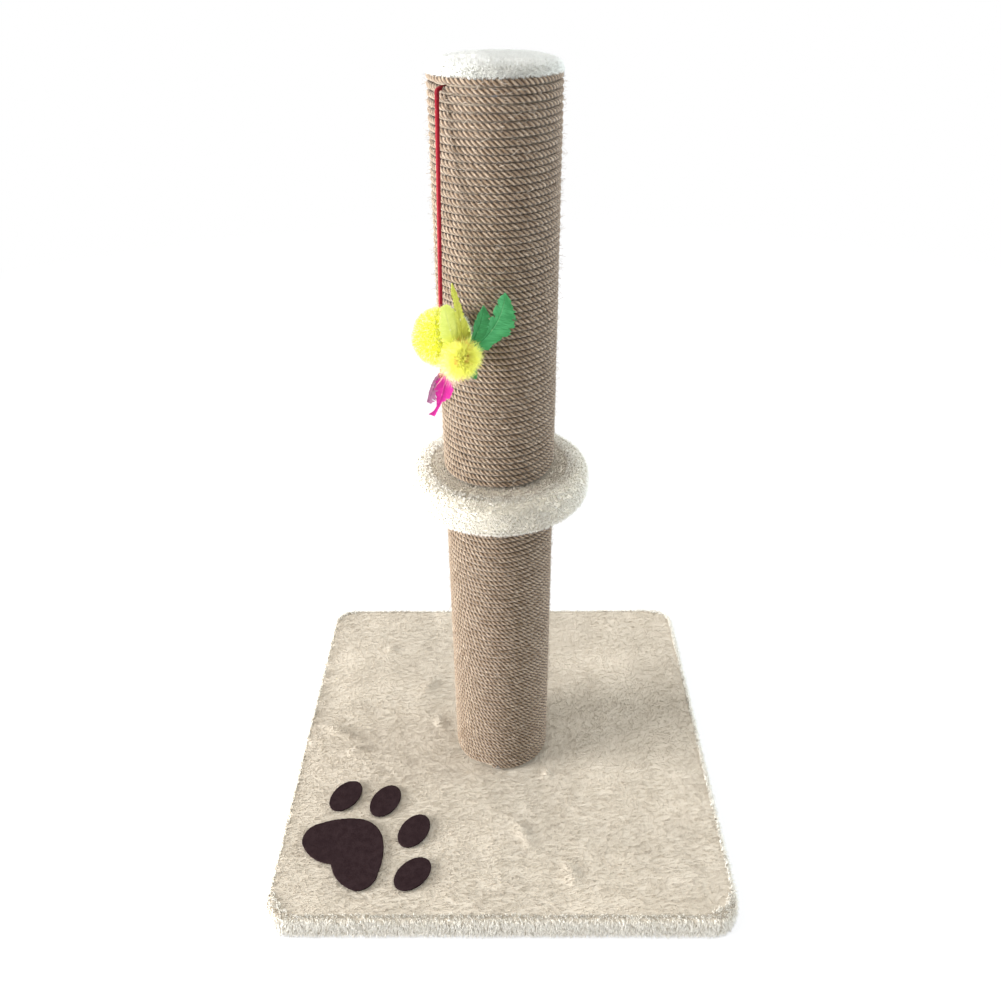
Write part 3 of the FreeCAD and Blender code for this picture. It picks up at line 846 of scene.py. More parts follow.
# %% Base cloth
pile_depth = 1.6 * mm
cloth_thickness = 0.8 * mm
hem_width = 24 * mm
base_corner = 17 * mm
above_floor = 0.1 * mm
hem_level = 1.5 * mm
base_low, base_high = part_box("base_plush_cover")
cloth_side = base_high.x - base_low.x - 2 * pile_depth
cloth_top = base_high.z - pile_depth
cloth_bottom = base_low.z + above_floor


def rounded_slab(name, side, corner, low, high, top_round, bottom_round):
    bpy.ops.mesh.primitive_cube_add(size=1, location=(0, 0, (low + high) / 2), scale=(side, side, high - low))
    slab = just_made(name)
    edit_edges(slab, lambda a, b: abs(a.z - b.z) > (high - low) / 2)
    bpy.ops.mesh.bevel(offset=corner, segments=8, affect="EDGES")
    leave_edit()
    round_rims(slab, {high: top_round, low: bottom_round}, 4)
    return slab


def thicken(cloth):
    """Give a sheet its thickness, inwards from its outer face."""
    apply_modifier(cloth, "SOLIDIFY", thickness=cloth_thickness, offset=-1.0)
    smooth(cloth)


base_cloth = rounded_slab(
    "base_cloth", cloth_side, base_corner - pile_depth, cloth_bottom, cloth_top, 2 * mm, 1 * mm
)
apply_modifier(base_cloth, "REMESH", mode="VOXEL", voxel_size=2.4 * mm)
window = box_size("base_board").x / 2 - hem_width
cut_away(
    base_cloth,
    lambda face: face.center.z < hem_level and max(abs(face.center.x), abs(face.center.y)) < window,
)
print("cloth faces:", len(base_cloth.data.polygons))

# %% [markdown]
# Stretched cloth is never quite flat. Slow waves lift and lower the top by a few tenths of a
# millimetre, and in a few rubbed places it stands up as a low ridge. The pile will follow both.

# %% Waves in the base cloth
wave_height = 0.35 * mm
ridge_height = 1.7 * mm
ridges = [
    # middle x and y, half length and half width in millimetres, direction in degrees
    (14.5, -86.0, 10.0, 3.6, -63.0),
    (32.6, -35.5, 4.0, 2.6, 80.0),
    (-123.5, 4.9, 12.0, 4.0, -25.0),
    (-108.0, -14.0, 9.0, 3.0, 20.0),
    (-60.0, 52.0, 9.0, 4.0, 60.0),
    (-48.0, 14.0, 6.0, 3.0, -70.0),
    (46.0, -118.0, 9.0, 4.0, -75.0),
    (-95.0, 96.0, 5.0, 4.0, 70.0),
]


def waves(places, length, shift):
    """Smooth random-looking waves between about -1 and 1, of a given length across a plane."""
    x, y = places[:, 0] / length, places[:, 1] / length
    first = np.sin(3.1 * x + 1.7 * y + shift) * np.sin(2.3 * y - 1.1 * x + 2 * shift)
    second = np.sin(5.9 * x - 4.7 * y + 3 * shift) * np.sin(6.7 * y + 3.9 * x + 5 * shift)
    return 0.65 * first + 0.35 * second


def near_ridges(places):
    """For each ridge: the direction across it, how far over it the places lie, and how near its crest."""
    for x, y, half_length, half_width, turned in ridges:
        direction = np.array([math.cos(math.radians(turned)), math.sin(math.radians(turned)), 0])
        across = np.array([-direction[1], direction[0], 0])
        away = places - np.array([x * mm, y * mm, 0])
        along_ridge = away @ direction / (half_length * mm)
        over_ridge = away @ across / (half_width * mm)
        yield across, over_ridge, np.exp(-(along_ridge**2) - over_ridge**2)


places = mesh_places(base_cloth)
lift = wave_height * waves(places, 45 * mm, 1.0)
for _, _, near in near_ridges(places):
    lift += ridge_height * near
places[:, 2] += ramp(places[:, 2], cloth_top - 2 * mm, 2 * mm) * lift
move_places(base_cloth, places)
thicken(base_cloth)
dress(base_cloth, "post", "plush", plush_cloth, "base_plush_cover")

# %% [markdown]
# The pile leans the way it was last brushed. The direction wanders over the base, and over a ridge two
# directions meet, so that the pile stands up and is paler on the side that faces the light.

# %% Pile on the base
pile_blades = 49000
inside_slab = 9 * mm


def brushed(places):
    """Which way the pile leans on the top, as a flat vector, and how much it is raised."""
    angle = -1.9 + 1.3 * waves(places, 70 * mm, 2.0) + 0.5 * waves(places, 19 * mm, 5.0)
    lean = 0.8 + 0.3 * waves(places, 38 * mm, 3.0)
    ways = np.column_stack([np.cos(angle) * lean, np.sin(angle) * lean, np.zeros(len(angle))])
    raised = np.zeros(len(places))
    for across, over_ridge, near in near_ridges(places):
        ways = ways - (over_ridge * near * 1.6)[:, None] * across
        raised = raised + near
    return ways, np.clip(raised, 0, 1)


def on_the_top(middle, normal):
    return (normal[:, 2] > 0.5) & (middle[:, 2] > inside_slab)


def in_half(part, front):
    """A test for the front or the back half of a part of the cloth, each half being a mesh of its own."""
    return lambda middle, normal: part(middle, normal) & ((middle[:, 1] < 0) == front)


def top_pile(name, count, wanted, chance):
    roots, normals = strew(base_cloth, count, chance, wanted)
    ways, raised = brushed(roots)
    lengths = (chance.uniform(1.3, 1.9, count) + 0.9 * raised)[:, None] * mm
    leaning = normals + ways * (1 - 0.4 * raised)[:, None]
    reaches = unit(leaning + scatter(count, 0.3, chance)) * lengths
    reaches = gather(roots, reaches, count // 6, 0.1, chance)
    widths = chance.uniform(0.25, 0.42, count) * mm
    return grow(name, short_blade, roots, reaches, widths, chance)


halves = {"front": True, "back": False}
for seed, (half, front) in enumerate(halves.items(), start=10):
    wanted = in_half(on_the_top, front)
    pile = top_pile(f"base_pile_{half}", pile_blades, wanted, np.random.default_rng(seed))
    # The pile on top takes the copy of the plush that is painted darker, as painted shade.
    dress(pile, "post", "plush", plush_pile_painted_darker)

# %% [markdown]
# Round the edge the pile fans out over the corner of the board. Its blades are longer and broader
# there, painted paler than the pile on top as painted light, and they hang down the side and gather
# into coarser clumps.

# %% Tufts round the base
edge_blades = 24000
rim_width = 2.5 * mm
corner_width = 6 * mm


def on_the_side(middle, normal):
    """The outer side of the cloth and its upper rim."""
    flat = np.abs(middle[:, :2])
    straight = cloth_side / 2 - base_corner
    at_corner = np.linalg.norm(flat - straight, axis=1) > base_corner - corner_width
    rounded = (flat.min(axis=1) > straight) & at_corner
    outer = (flat.max(axis=1) > cloth_side / 2 - rim_width) | rounded
    facing = np.einsum("ij,ij->i", middle[:, :2], normal[:, :2]) > -0.02 * mm
    return outer & facing & (normal[:, 2] > -0.6)


def edge_tufts(name, count, wanted, chance):
    roots, normals = strew(base_cloth, count, chance, wanted)
    lengths = chance.uniform(2.2, 4.2, count)[:, None] * mm
    hang = np.array([0, 0, -1.1]) * (1 - np.clip(normals[:, 2:3], 0, 1))
    outward = unit(normals * [1, 1, 0.8])
    reaches = unit(outward * 0.7 + hang + scatter(count, 0.22, chance)) * lengths
    reaches = gather(roots, reaches, count // 9, 0.35, chance)
    reaches[:, 2] = np.maximum(reaches[:, 2], cloth_bottom - roots[:, 2])
    widths = chance.uniform(0.4, 0.65, count) * mm
    return grow(name, short_blade, roots, reaches, widths, chance)


for seed, (half, front) in enumerate(halves.items(), start=20):
    wanted = in_half(on_the_side, front)
    tufts = edge_tufts(f"base_tufts_{half}", edge_blades, wanted, np.random.default_rng(seed))
    dress(tufts, "post", "plush", plush_tufts_painted_paler)

# %% [markdown]
# ## The ring
# The ring is a wooden disc in the same plush, puffed at its rim. Its cloth starts as a short cylinder
# with both rims rounded, and it is remeshed so that small dents can be pressed into it.

# %% Ring cloth
ring_low, ring_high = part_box("ring_plush_cover")
ring_radius = (ring_high.x - ring_low.x) / 2
ring_pile_depth = 1.2 * mm
ring_bottom = ring_low.z + ring_pile_depth + 0.6 * mm
ring_top = ring_high.z - ring_pile_depth
ring_middle = (ring_bottom + ring_top) / 2
ring_rounding = 5.5 * mm
post_hole = 8 * mm


def rounded_disc(name, radius, low, high, rounding):
    bpy.ops.mesh.primitive_cylinder_add(
        vertices=128, radius=radius, depth=high - low, location=(0, 0, (low + high) / 2)
    )
    disc = just_made(name)
    round_rims(disc, {low: rounding, high: rounding}, 6)
    return disc


ring_cloth_radius = ring_radius - ring_pile_depth - 0.3 * mm
ring_cloth = rounded_disc("ring_cloth", ring_cloth_radius, ring_bottom, ring_top, ring_rounding)
apply_modifier(ring_cloth, "REMESH", mode="VOXEL", voxel_size=1.6 * mm)
cut_away(ring_cloth, lambda face: face.center.xy.length < post_hole)
places = mesh_places(ring_cloth)
dents = ramp(from_axis(places), 40 * mm, 14 * mm) * 0.3 * mm * waves(places, 22 * mm, 2.5)
places[:, 2] += dents * np.sign(places[:, 2] - ring_middle)
move_places(ring_cloth, places)
thicken(ring_cloth)
dress(ring_cloth, "post", "plush", cream_cloth_painted_paler, "ring_plush_cover")

# %% [markdown]
# Its pile is brushed outwards on top and hangs over the rim, where it opens into tufts. As on the
# base, the pile on top is painted darker, as painted shade, and the tufts paler, as painted light.

# %% Pile on the ring
flat_top = 41 * mm


def on_the_outside(middle):
    """Leave out the inner face of the cloth's flat part, a cloth's thickness below the outer one."""
    depth = (ring_top - ring_bottom) / 2 - cloth_thickness / 2
    return (np.abs(middle[:, 2] - ring_middle) > depth) | (from_axis(middle) > flat_top)


def ring_flat(middle, normal):
    reach = from_axis(middle)
    level = (np.abs(normal[:, 2]) > 0.6) & (reach < flat_top + 4 * mm) & (reach > post_radius - 3 * mm)
    return level & on_the_outside(middle)


def ring_rim(middle, normal):
    return (from_axis(middle) > flat_top) & on_the_outside(middle)


def ring_pile(name, count, wanted, material, length, width, strength, chance):
    """Strew twice as many blades as wanted, and keep those that face away from the middle of the ring."""
    roots, normals = strew(ring_cloth, count * 2, chance, wanted)
    away = (roots - [0, 0, ring_middle]) * [0.3, 0.3, 1.0]
    facing_out = np.einsum("ij,ij->i", away, normals) > 0
    roots, normals = roots[facing_out][:count], normals[facing_out][:count]
    count = len(roots)
    from_post = from_axis(roots) - post_radius
    taller = 1 + 0.3 * np.exp(-np.maximum(from_post, 0) / (2 * mm))
    lengths = (chance.uniform(0.8, 1.2, count) * taller)[:, None] * length
    steep = np.abs(normals[:, 2:3])
    outward = unit(roots * [1, 1, 0]) * ramp(from_post, 0, 4 * mm)[:, None]
    leaning = normals + outward * 0.6 * steep + [0, 0, -0.4] * (1 - steep)
    reaches = unit(leaning + scatter(count, 0.25, chance)) * lengths
    reaches = gather(roots, reaches, count // 8, strength, chance)
    widths = chance.uniform(0.8, 1.2, count) * width
    pile = grow(name, short_blade, roots, reaches, widths, chance)
    dress(pile, "post", "plush", material)


ring_pile("ring_pile", 16000, ring_flat, plush_pile_painted_darker, 1.8 * mm, 0.45 * mm, 0.2, np.random.default_rng(30))
ring_pile("ring_tufts", 30000, ring_rim, plush_tufts_painted_paler, 2.2 * mm, 0.42 * mm, 0.35, np.random.default_rng(31))

# %% [markdown]
# ## The cap
# The cap is a disc of plush over a little wadding. Its dome is half a squashed ball: a sphere cut off
# below, with a rim that turns under over the last turn of rope and is tucked into the tube.

# %% Cap
cap_low, cap_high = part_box("cap_plush_cover")
cap_radius = (cap_high.x - cap_low.x) / 2
tube_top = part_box("upper_tube")[1].z
cap_cloth_radius = cap_radius - 1.0 * mm
cap_cloth_top = cap_high.z - 2.0 * mm
cap_rim = tube_top + 0.6 * mm
tuck_radius = box_size("upper_tube_top_plug").x / 2 - cloth_thickness


def dome(name, radius, low, high):
    """The upper half of a ball, flattened and filled out towards its rim."""
    bpy.ops.mesh.primitive_uv_sphere_add(segments=96, ring_count=64, radius=radius, location=(0, 0, low))
    made = just_made(name)
    cut_away(made, lambda face: face.center.z < low)
    places = mesh_places(made)
    reach = np.clip(from_axis(places) / radius, 0, 1)
    places[:, 2] = low + (high - low) * (0.3 * (1 - reach**2) + 0.7 * (1 - reach**8) ** 0.5)
    move_places(made, places)
    return made


cap_cloth = dome("cap_cloth", cap_cloth_radius, cap_rim, cap_cloth_top)
narrowing = tuck_radius / cap_cloth_radius
edit_edges(cap_cloth, at_level(cap_rim))
bpy.ops.mesh.extrude_region_move()
bpy.ops.transform.resize(value=(narrowing, narrowing, 1), center_override=(0, 0, cap_rim))
bpy.ops.mesh.extrude_region_move(TRANSFORM_OT_translate={"value": (0, 0, cap_low.z - tube_top)})
leave_edit()
in_fixed_order(cap_cloth)
thicken(cap_cloth)
dress(cap_cloth, "post", "plush", white_cloth_painted_paler, "cap_plush_cover")

# %% Pile on the cap
cap_blades = 26000
rim_starts = 27 * mm


def cap_outside(middle, normal):
    facing = np.einsum("ij,ij->i", middle * [1, 1, 0], normal) + 0.02 * normal[:, 2] > 0
    on_dome = (from_axis(middle) < cap_radius - 4 * mm) & (normal[:, 2] > 0.3)
    return facing & (on_dome | (middle[:, 2] > tube_top))


chance = np.random.default_rng(40)
roots, normals = strew(cap_cloth, cap_blades, chance, cap_outside)
outward = unit(roots * [1, 1, 0])
rim = ramp(from_axis(roots), rim_starts, 5 * mm)[:, None]
lengths = (chance.uniform(1.4, 2.0, cap_blades)[:, None] + 0.5 * rim) * mm
swirl_angle = 1.2 + waves(roots, 30 * mm, 4.0)
swirl = np.column_stack([np.cos(swirl_angle), np.sin(swirl_angle), np.zeros(cap_blades)])
leaning = normals + swirl * 0.7 * (1 - rim) + (outward * 0.1 - upwards * 0.9) * rim
reaches = unit(leaning + scatter(cap_blades, 0.25, chance)) * lengths
reaches = gather(roots, reaches, cap_blades // 8, 0.2, chance)
widths = chance.uniform(0.3, 0.5, cap_blades) * mm
# The cap's pile is painted paler than the base's, as painted light from above.
dress(grow("cap_pile_painted_paler", short_blade, roots, reaches, widths, chance), "post", "plush", white_pile_painted_paler)

# %% [markdown]
# ## The felt paw
# The pads are cut from thick felt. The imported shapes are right, so copies of them are merged, remeshed
# finely and roughened by a little noise, which softens the cut edge as felt does.

# %% Felt pads
felt = mottled_material(
    "felt", 0.95, (0.016, 0.008, 0.009), (0.028, 0.016, 0.017), 4 * mm, 0.5 * mm, 0.12 * mm
)
felt.node_tree.nodes["Principled BSDF"].inputs["Specular IOR Level"].default_value = 0.05
felt_noise = bpy.data.textures.new("felt_noise", "CLOUDS")
felt_noise.noise_scale = 0.9 * mm
felt_roughness = {"strength": 0.14 * mm, "mid_level": 0.5, "texture_coords": "LOCAL"}


def felt_pad(node):
    pad = add_object(node + "_felt", frame["nodes"][node].data.copy())
    pick(pad)
    bpy.ops.object.mode_set(mode="EDIT")
    bpy.ops.mesh.select_all(action="SELECT")
    bpy.ops.mesh.remove_doubles(threshold=0.01 * mm)
    bpy.ops.mesh.normals_make_consistent(inside=False)
    leave_edit()
    apply_modifier(pad, "REMESH", mode="VOXEL", voxel_size=0.4 * mm)
    apply_modifier(pad, "SMOOTH", factor=0.5, iterations=3)
    apply_modifier(pad, "DISPLACE", texture=felt_noise, **felt_roughness)
    smooth(pad)
    dress(pad, "post", "felt", felt, node)


for node in ["paw_main_pad"] + [f"paw_toe_pad_{number}" for number in range(1, 5)]:
    felt_pad(node)

# %% [markdown]
# ## The toy's ball
# A yellow pom-pom: a round core under short, dense fluff, with longer hairs beyond it that are so fine
# that they look nearly white.

# %% Ball
ball_middle = box_middle("toy_ball")
ball_radius = box_size("toy_ball").z / 2
core_radius = 14.2 * mm
ball_cloth = mottled_material(
    "ball_cloth", 1.0, (0.93, 0.92, 0.05), (0.97, 0.97, 0.08), 6 * mm, 1 * mm, 0.2 * mm, 0.2
)
ball_fluff = pile_material(
    "ball_fluff", (0.95, 0.95, 0.05), (0.97, 0.99, 0.10), (0.96, 0.96, 0.96), white, 7 * mm
)
ball_halo = pile_material(
    "ball_halo", (0.97, 0.97, 0.20), (0.97, 0.97, 0.70), (0.97, 0.97, 0.97), white, 7 * mm
)

bpy.ops.mesh.primitive_ico_sphere_add(subdivisions=5, radius=core_radius, location=ball_middle)
ball_core = just_made("ball_core")
places = mesh_places(ball_core)
from_middle = places - np.array(ball_middle)
dents = 0.3 * mm * waves(from_middle, 9 * mm, 1.0)[:, None]
move_places(ball_core, places + unit(from_middle) * dents)
smooth(ball_core)
dress(ball_core, "toy", "ball_plush", ball_cloth, "toy_ball")


def fluff_on_ball(name, count, shortest, longest, width, ruffled, tufts, material, chance):
    """Blades that stand off the ball, their lengths and width in millimetres."""
    roots, normals = strew(ball_core, count, chance)
    lengths = chance.uniform(shortest * mm, longest * mm, count)[:, None]
    reaches = unit(normals + [0, 0, -0.15] + scatter(count, ruffled, chance)) * lengths
    reaches = gather(roots, reaches, tufts, 0.2, chance)
    widths = chance.uniform(0.8, 1.2, count) * width * mm
    dress(grow(name, short_blade, roots, reaches, widths, chance), "toy", "ball_plush", material)


fluff_on_ball("ball_pile", 18000, 0.9, 1.8, 0.32, 0.35, 2500, ball_fluff, np.random.default_rng(50))
fluff_on_ball("ball_hairs", 4500, 2.6, 4.4, 0.13, 0.4, 700, ball_halo, np.random.default_rng(51))

# %% [markdown]
# ## The bunch on its front
# Feathers and down are held by a drop of glue on the front of the ball. Their places are measured in
# the bunch's own directions: right, up and out of the ball.

# %% Directions of the bunch
bunch_azimuth = math.radians(298.9)
bunch_elevation = math.radians(-8.3)
bunch_out = Vector((math.cos(bunch_azimuth), math.sin(bunch_azimuth), 0)) * math.cos(bunch_elevation)
bunch_out.z = math.sin(bunch_elevation)
bunch_right = Vector((0, 0, 1)).cross(bunch_out).normalized()
bunch_up = bunch_out.cross(bunch_right)


def in_bunch(right, up, out):
    """A point from millimetres right, up and out of the ball's middle."""
    return ball_middle + (bunch_right * right + bunch_up * up + bunch_out * out) * mm


# %% Glue bead
bead_width = 3.4 * mm
bead_height = 3.6 * mm
bead_middle = ball_middle + bunch_out * (ball_radius + 0.3 * mm) + bunch_out * 2.6 * mm

hot_glue = mottled_material(
    "hot_glue", 0.25, (0.70, 0.55, 0.22), (0.86, 0.74, 0.40), 3 * mm, 0.8 * mm, 0.1 * mm
)
bpy.ops.mesh.primitive_uv_sphere_add(segments=24, ring_count=16, radius=1, location=(0, 0, 0))
glue = bpy.context.object
glue.scale = (bead_width, bead_width, bead_height)
glue.rotation_euler = bunch_out.to_track_quat("Z", "Y").to_euler()
glue.location = bead_middle
glue_bead = just_made("glue_bead")
in_fixed_order(glue_bead)
smooth(glue_bead)
dress(glue_bead, "toy", "glue", hot_glue, "toy_feather_bead")

# %% [markdown]
# ## Feathers
# A feather is a quill with two vanes of barbs. The vanes are a grid that follows the feather's outline.
# Its rows slant towards the tip as barbs do, so splits between barbs are made by deleting a few of
# the outer faces of a row. The vane then gets a little thickness and its quill.

# %% Feather material


def feather_material(name, dark, light, quill):
    """Dyed barbs: fine slanting lines over broad streaks, with a paler quill."""
    material, tree, shader = new_material(name, 0.6, sheen=0.2)
    vane, across, _ = read_map(tree, "UVMap")
    barbs = add_fibres(tree, vane, 3.0, 90.0)
    streaks = spread(tree, add_fibres(tree, vane, 2.0, 7.0), 0.35, 0.65)
    lined = mix_colours(tree, spread(tree, barbs, 0.38, 0.60), dark, mix_colours(tree, streaks, dark, light))
    near_quill = spread(tree, off_middle(tree, across), 0.03, 0.0)
    tree.links.new(mix_colours(tree, near_quill, lined, quill), shader.inputs["Base Color"])
    add_bump(tree, shader, barbs, 0.15 * mm)
    return material


quill_pale = (0.88, 0.88, 0.55)
dyes = {
    "pale_vane": ((0.66, 0.74, 0.13), (0.82, 0.88, 0.24), quill_pale),
    "yellow_vane": ((0.42, 0.43, 0.035), (0.72, 0.74, 0.12), quill_pale),
    "green_vane": ((0.012, 0.16, 0.035), (0.045, 0.31, 0.085), (0.16, 0.46, 0.18)),
    "pale_green_vane": ((0.025, 0.23, 0.06), (0.09, 0.43, 0.15), (0.25, 0.54, 0.24)),
    "magenta_vane": ((0.44, 0.008, 0.20), (0.68, 0.022, 0.31), (0.74, 0.20, 0.42)),
    "purple_vane": ((0.26, 0.09, 0.18), (0.44, 0.19, 0.31), (0.55, 0.32, 0.43)),
}
dyed_vanes = {name: feather_material(name, *dye) for name, dye in dyes.items()}

# %% Feather shape
vane_columns = 12
vane_rows = 40
vane_thickness = 0.12 * mm
quill_thickness = 0.55 * mm
quill_steps = 16


def feather(name, slot, dye, root, tip, left, right, outward, bend, splits, chance, lift=0.0):
    """A feather from root to tip, which bends sideways and lifts its tip by some millimetres.

    left and right give each vane's width in millimetres at even steps along it. Each split is a row and
    the columns from and up to which its faces are torn out."""
    bpy.ops.mesh.primitive_grid_add(x_subdivisions=vane_columns, y_subdivisions=vane_rows, size=1)
    vane = just_made(name)
    side = (tip - root).normalized().cross(outward).normalized()

    def spine(share, raised=0.0):
        bowed = root.lerp(tip, share) + side * (4 * bend * mm * share * (1 - share))
        return bowed + outward * (lift * mm * share**2 + raised)

    def shaped(x, y):
        reach = abs(x) * 2
        share = (y + 0.5) + 0.14 * reach * (0.5 - y)
        widths = left if x < 0 else right
        width = np.interp(share, np.linspace(0, 1, len(widths)), widths) * mm
        ragged = 1 + 0.10 * chance.normal() * (reach > 0.9)
        return spine(share, 0.10 * width * reach**2) + side * math.copysign(width * reach * ragged, x)

    move_places(vane, [shaped(x, y) for x, y, _ in mesh_places(vane)])
    torn = {row * vane_columns + column for row, first, last in splits for column in range(first, last)}
    cut_away(vane, lambda face: face.index in torn)
    apply_modifier(vane, "SOLIDIFY", thickness=vane_thickness, offset=0.0)
    pick(vane)
    bpy.ops.object.shade_smooth_by_angle(angle=math.radians(60))
    quill_line = [spine(share, 0.1 * mm) for share in np.linspace(-0.05, 0.97, quill_steps)]
    thinning = np.linspace(1.0, 0.3, quill_steps)
    quill = tube_along(name + "_quill", quill_line, quill_thickness, roundness=2, radii=thinning)
    pick(quill, vane)
    bpy.ops.object.join()
    return dress(bpy.context.object, "toy", slot, dyed_vanes[dye], "toy_" + name)


# %% [markdown]
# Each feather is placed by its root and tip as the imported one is, with its own outline. Those of the
# bunch are laid over each other in thin layers, and their roots and tips are given by a distance from
# the bunch's middle and a direction.

# %% The bunch's feathers


def polar_point(distance, degrees, out):
    angle = math.radians(degrees)
    return in_bunch(distance * math.cos(angle), distance * math.sin(angle), out)


chance = np.random.default_rng(60)
feathers = [
    feather(
        "broad_yellow_feather", "yellow_feather", "pale_vane",
        polar_point(3.3, 112, 18.7), polar_point(29.6, 106, 18.7),
        [0.5, 5.0, 5.4, 5.3, 5.1, 4.2, 3.0, 1.8], [0.5, 5.0, 5.4, 5.5, 5.4, 5.0, 4.2, 1.7],
        bunch_out, 0.0, [(30, 0, 1), (36, 0, 2), (34, 11, 12)], chance,
    ),
    feather(
        "long_yellow_feather", "yellow_feather", "yellow_vane",
        polar_point(3.3, 50, 19.9), polar_point(40.4, 97.3, 19.9),
        [0.5, 1.2, 2.0, 2.2, 2.2, 2.0, 1.8, 0.3], [0.5, 4.0, 4.0, 2.6, 1.9, 1.3, 1.0, 0.3],
        bunch_out, 1.5, [(22, 0, 2), (27, 10, 12), (16, 10, 12)], chance, lift=0.5,
    ),
    feather(
        "large_green_feather", "green_feather", "pale_green_vane",
        polar_point(3.3, 20, 21.1), polar_point(38.5, 53, 21.1),
        [0.5, 1.5, 3.0, 4.5, 5.3, 4.9, 4.9, 4.8, 0.4], [0.5, 5.0, 6.2, 7.8, 9.9, 10.0, 9.4, 7.2, 0.4],
        bunch_out, 6.0, [(24, 0, 3), (31, 0, 2), (33, 11, 12), (27, 11, 12)], chance, lift=1.0,
    ),
    feather(
        "small_green_feather", "green_feather", "green_vane",
        polar_point(3.3, 45, 22.3), polar_point(29.0, 67.5, 22.3),
        [0.4, 1.2, 1.6, 2.4, 3.7, 3.6, 2.6, 0.2], [0.4, 2.8, 4.0, 4.6, 5.2, 4.8, 3.7, 0.2],
        bunch_out, 2.5, [(21, 10, 12), (29, 11, 12), (26, 0, 1)], chance, lift=0.6,
    ),
    feather(
        "little_green_feather", "green_feather", "green_vane",
        polar_point(3.3, -40, 19.9), polar_point(19.3, -56.6, 19.9),
        [0.4, 1.2, 1.8, 2.0, 2.6, 3.0, 2.2, 0.4], [0.4, 0.8, 1.2, 1.6, 2.0, 2.2, 1.6, 0.4],
        bunch_out, 0.0, [(24, 0, 2), (30, 10, 12)], chance,
    ),
]

# %% The two feathers tied in below
forwards = cord_down.cross(Vector((1, 0, 0))).normalized()
sideways = forwards.cross(cord_down)
ball_bottom = ball_middle + cord_down * ball_radius


def below_ball(out, side, down):
    """A point from millimetres forwards, sideways and down of the ball's lowest point."""
    return ball_bottom + (forwards * out + sideways * side + cord_down * down) * mm


feathers += [
    feather(
        "purple_feather", "purple_feather", "purple_vane",
        below_ball(2.9, -1.5, 0.6), below_ball(2.9, -7.6, 16.0),
        [0.5, 1.8, 2.6, 3.0, 3.4, 3.7, 3.6, 2.2], [0.5, 1.0, 1.3, 1.4, 1.3, 1.0, 0.7, 0.4],
        forwards, 0.0, [(26, 0, 2), (33, 0, 3)], chance,
    ),
    feather(
        "magenta_feather", "magenta_feather", "magenta_vane",
        below_ball(4.1, 2.0, 0.6), below_ball(4.1, -5.6, 22.6),
        [0.5, 3.6, 5.0, 5.1, 4.4, 1.3, 1.3, 1.6, 1.8], [0.5, 3.6, 4.4, 4.0, 3.0, 1.8, 0.3, 0.3, 1.6],
        forwards, -1.8, [(13, 10, 12), (18, 0, 2)], chance,
    ),
]

# %% [markdown]
# ## Down
# The burst in the middle is fine yellow down: long, thin, curving hairs from one point, most of them
# lying back against the ball. Here and there a hair has taken orange dye.

# %% Material of the down
yellow_down, tree, shader = new_material("yellow_down", 0.9, sheen=0.15)
_, number, height = read_map(tree, "blade")
stain = put(tree, "ShaderNodeTexNoise", {"Vector": object_place(tree), "Scale": 1 / (6 * mm), "Detail": 2.0})
stained = calculate(tree, "ADD", stain.outputs["Fac"], calculate(tree, "MULTIPLY", number, 0.12))
down_tone = mix_colours(tree, height, (0.97, 0.93, 0.06), (0.99, 0.99, 0.22))
down_tone = mix_colours(tree, spread(tree, stained, 0.66, 0.76), down_tone, (0.98, 0.52, 0.10))
tree.links.new(down_tone, shader.inputs["Base Color"])

# %% Yellow down
hairs = 4800
longest = 12.3 * mm
flatness = 0.7
right, up, out = (np.array(direction) for direction in (bunch_right, bunch_up, bunch_out))

chance = np.random.default_rng(70)
angle = chance.uniform(0, tau, hairs)
away = chance.uniform(0.0, 1.0, hairs) ** 0.5
ways = (np.cos(angle) * away)[:, None] * right + (np.sin(angle) * away)[:, None] * up
ways = ways + (1.05 - away)[:, None] * out * flatness
lengths = chance.uniform(0.45, 1.0, hairs)[:, None] * longest
roots = np.array(in_bunch(0, 0, 22.0)) + ways * 1.5 * mm
reaches = unit(ways + scatter(hairs, 0.2, chance)) * lengths
reaches = gather(roots + reaches * 0.5, reaches, hairs // 6, 0.25, chance)
bends = scatter(hairs, 0.14, chance) * lengths + out * 0.08 * lengths
widths = chance.uniform(0.10, 0.24, hairs) * mm
down = grow("yellow_down", curved_blade, roots, reaches, widths, chance, bends)
dress(down, "toy", "down", yellow_down, "toy_yellow_fluff")

# %% [markdown]
# A few peach-coloured wisps hang below the bunch, over the knot.

# %% Peach wisps
wisps = 360
peach_down = pile_material("peach_down", (0.95, 0.42, 0.30), (0.95, 0.66, 0.45), white, white, 5 * mm)
roots = np.array(in_bunch(-1, -4, 20.5)) + scatter(wisps, 1.6, chance) * mm
ways = -0.9 * up - 0.3 * right + scatter(wisps, 0.4, chance)
reaches = unit(ways) * chance.uniform(6, 13, wisps)[:, None] * mm
bends = scatter(wisps, 1.0, chance) * mm
wisp_tuft = grow("peach_wisps", curved_blade, roots, reaches, np.full(wisps, 0.2 * mm), chance, bends)
dress(wisp_tuft, "toy", "down", peach_down)

# %% The cord's arch and run with their places baked in, and a list of all that hangs on the cord
toy_pieces = ["stop_knot", "ball_core", "ball_pile", "ball_hairs", "glue_bead", "yellow_down", "peach_wisps"]
toy_pieces += [piece.name for piece in feathers]
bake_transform(cord_arch)
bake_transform(cord_run)
print("pieces that hang on the cord:", toy_pieces)

# %% [markdown]
# ## The pieces inside and below
# Boards, tubes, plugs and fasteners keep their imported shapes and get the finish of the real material.

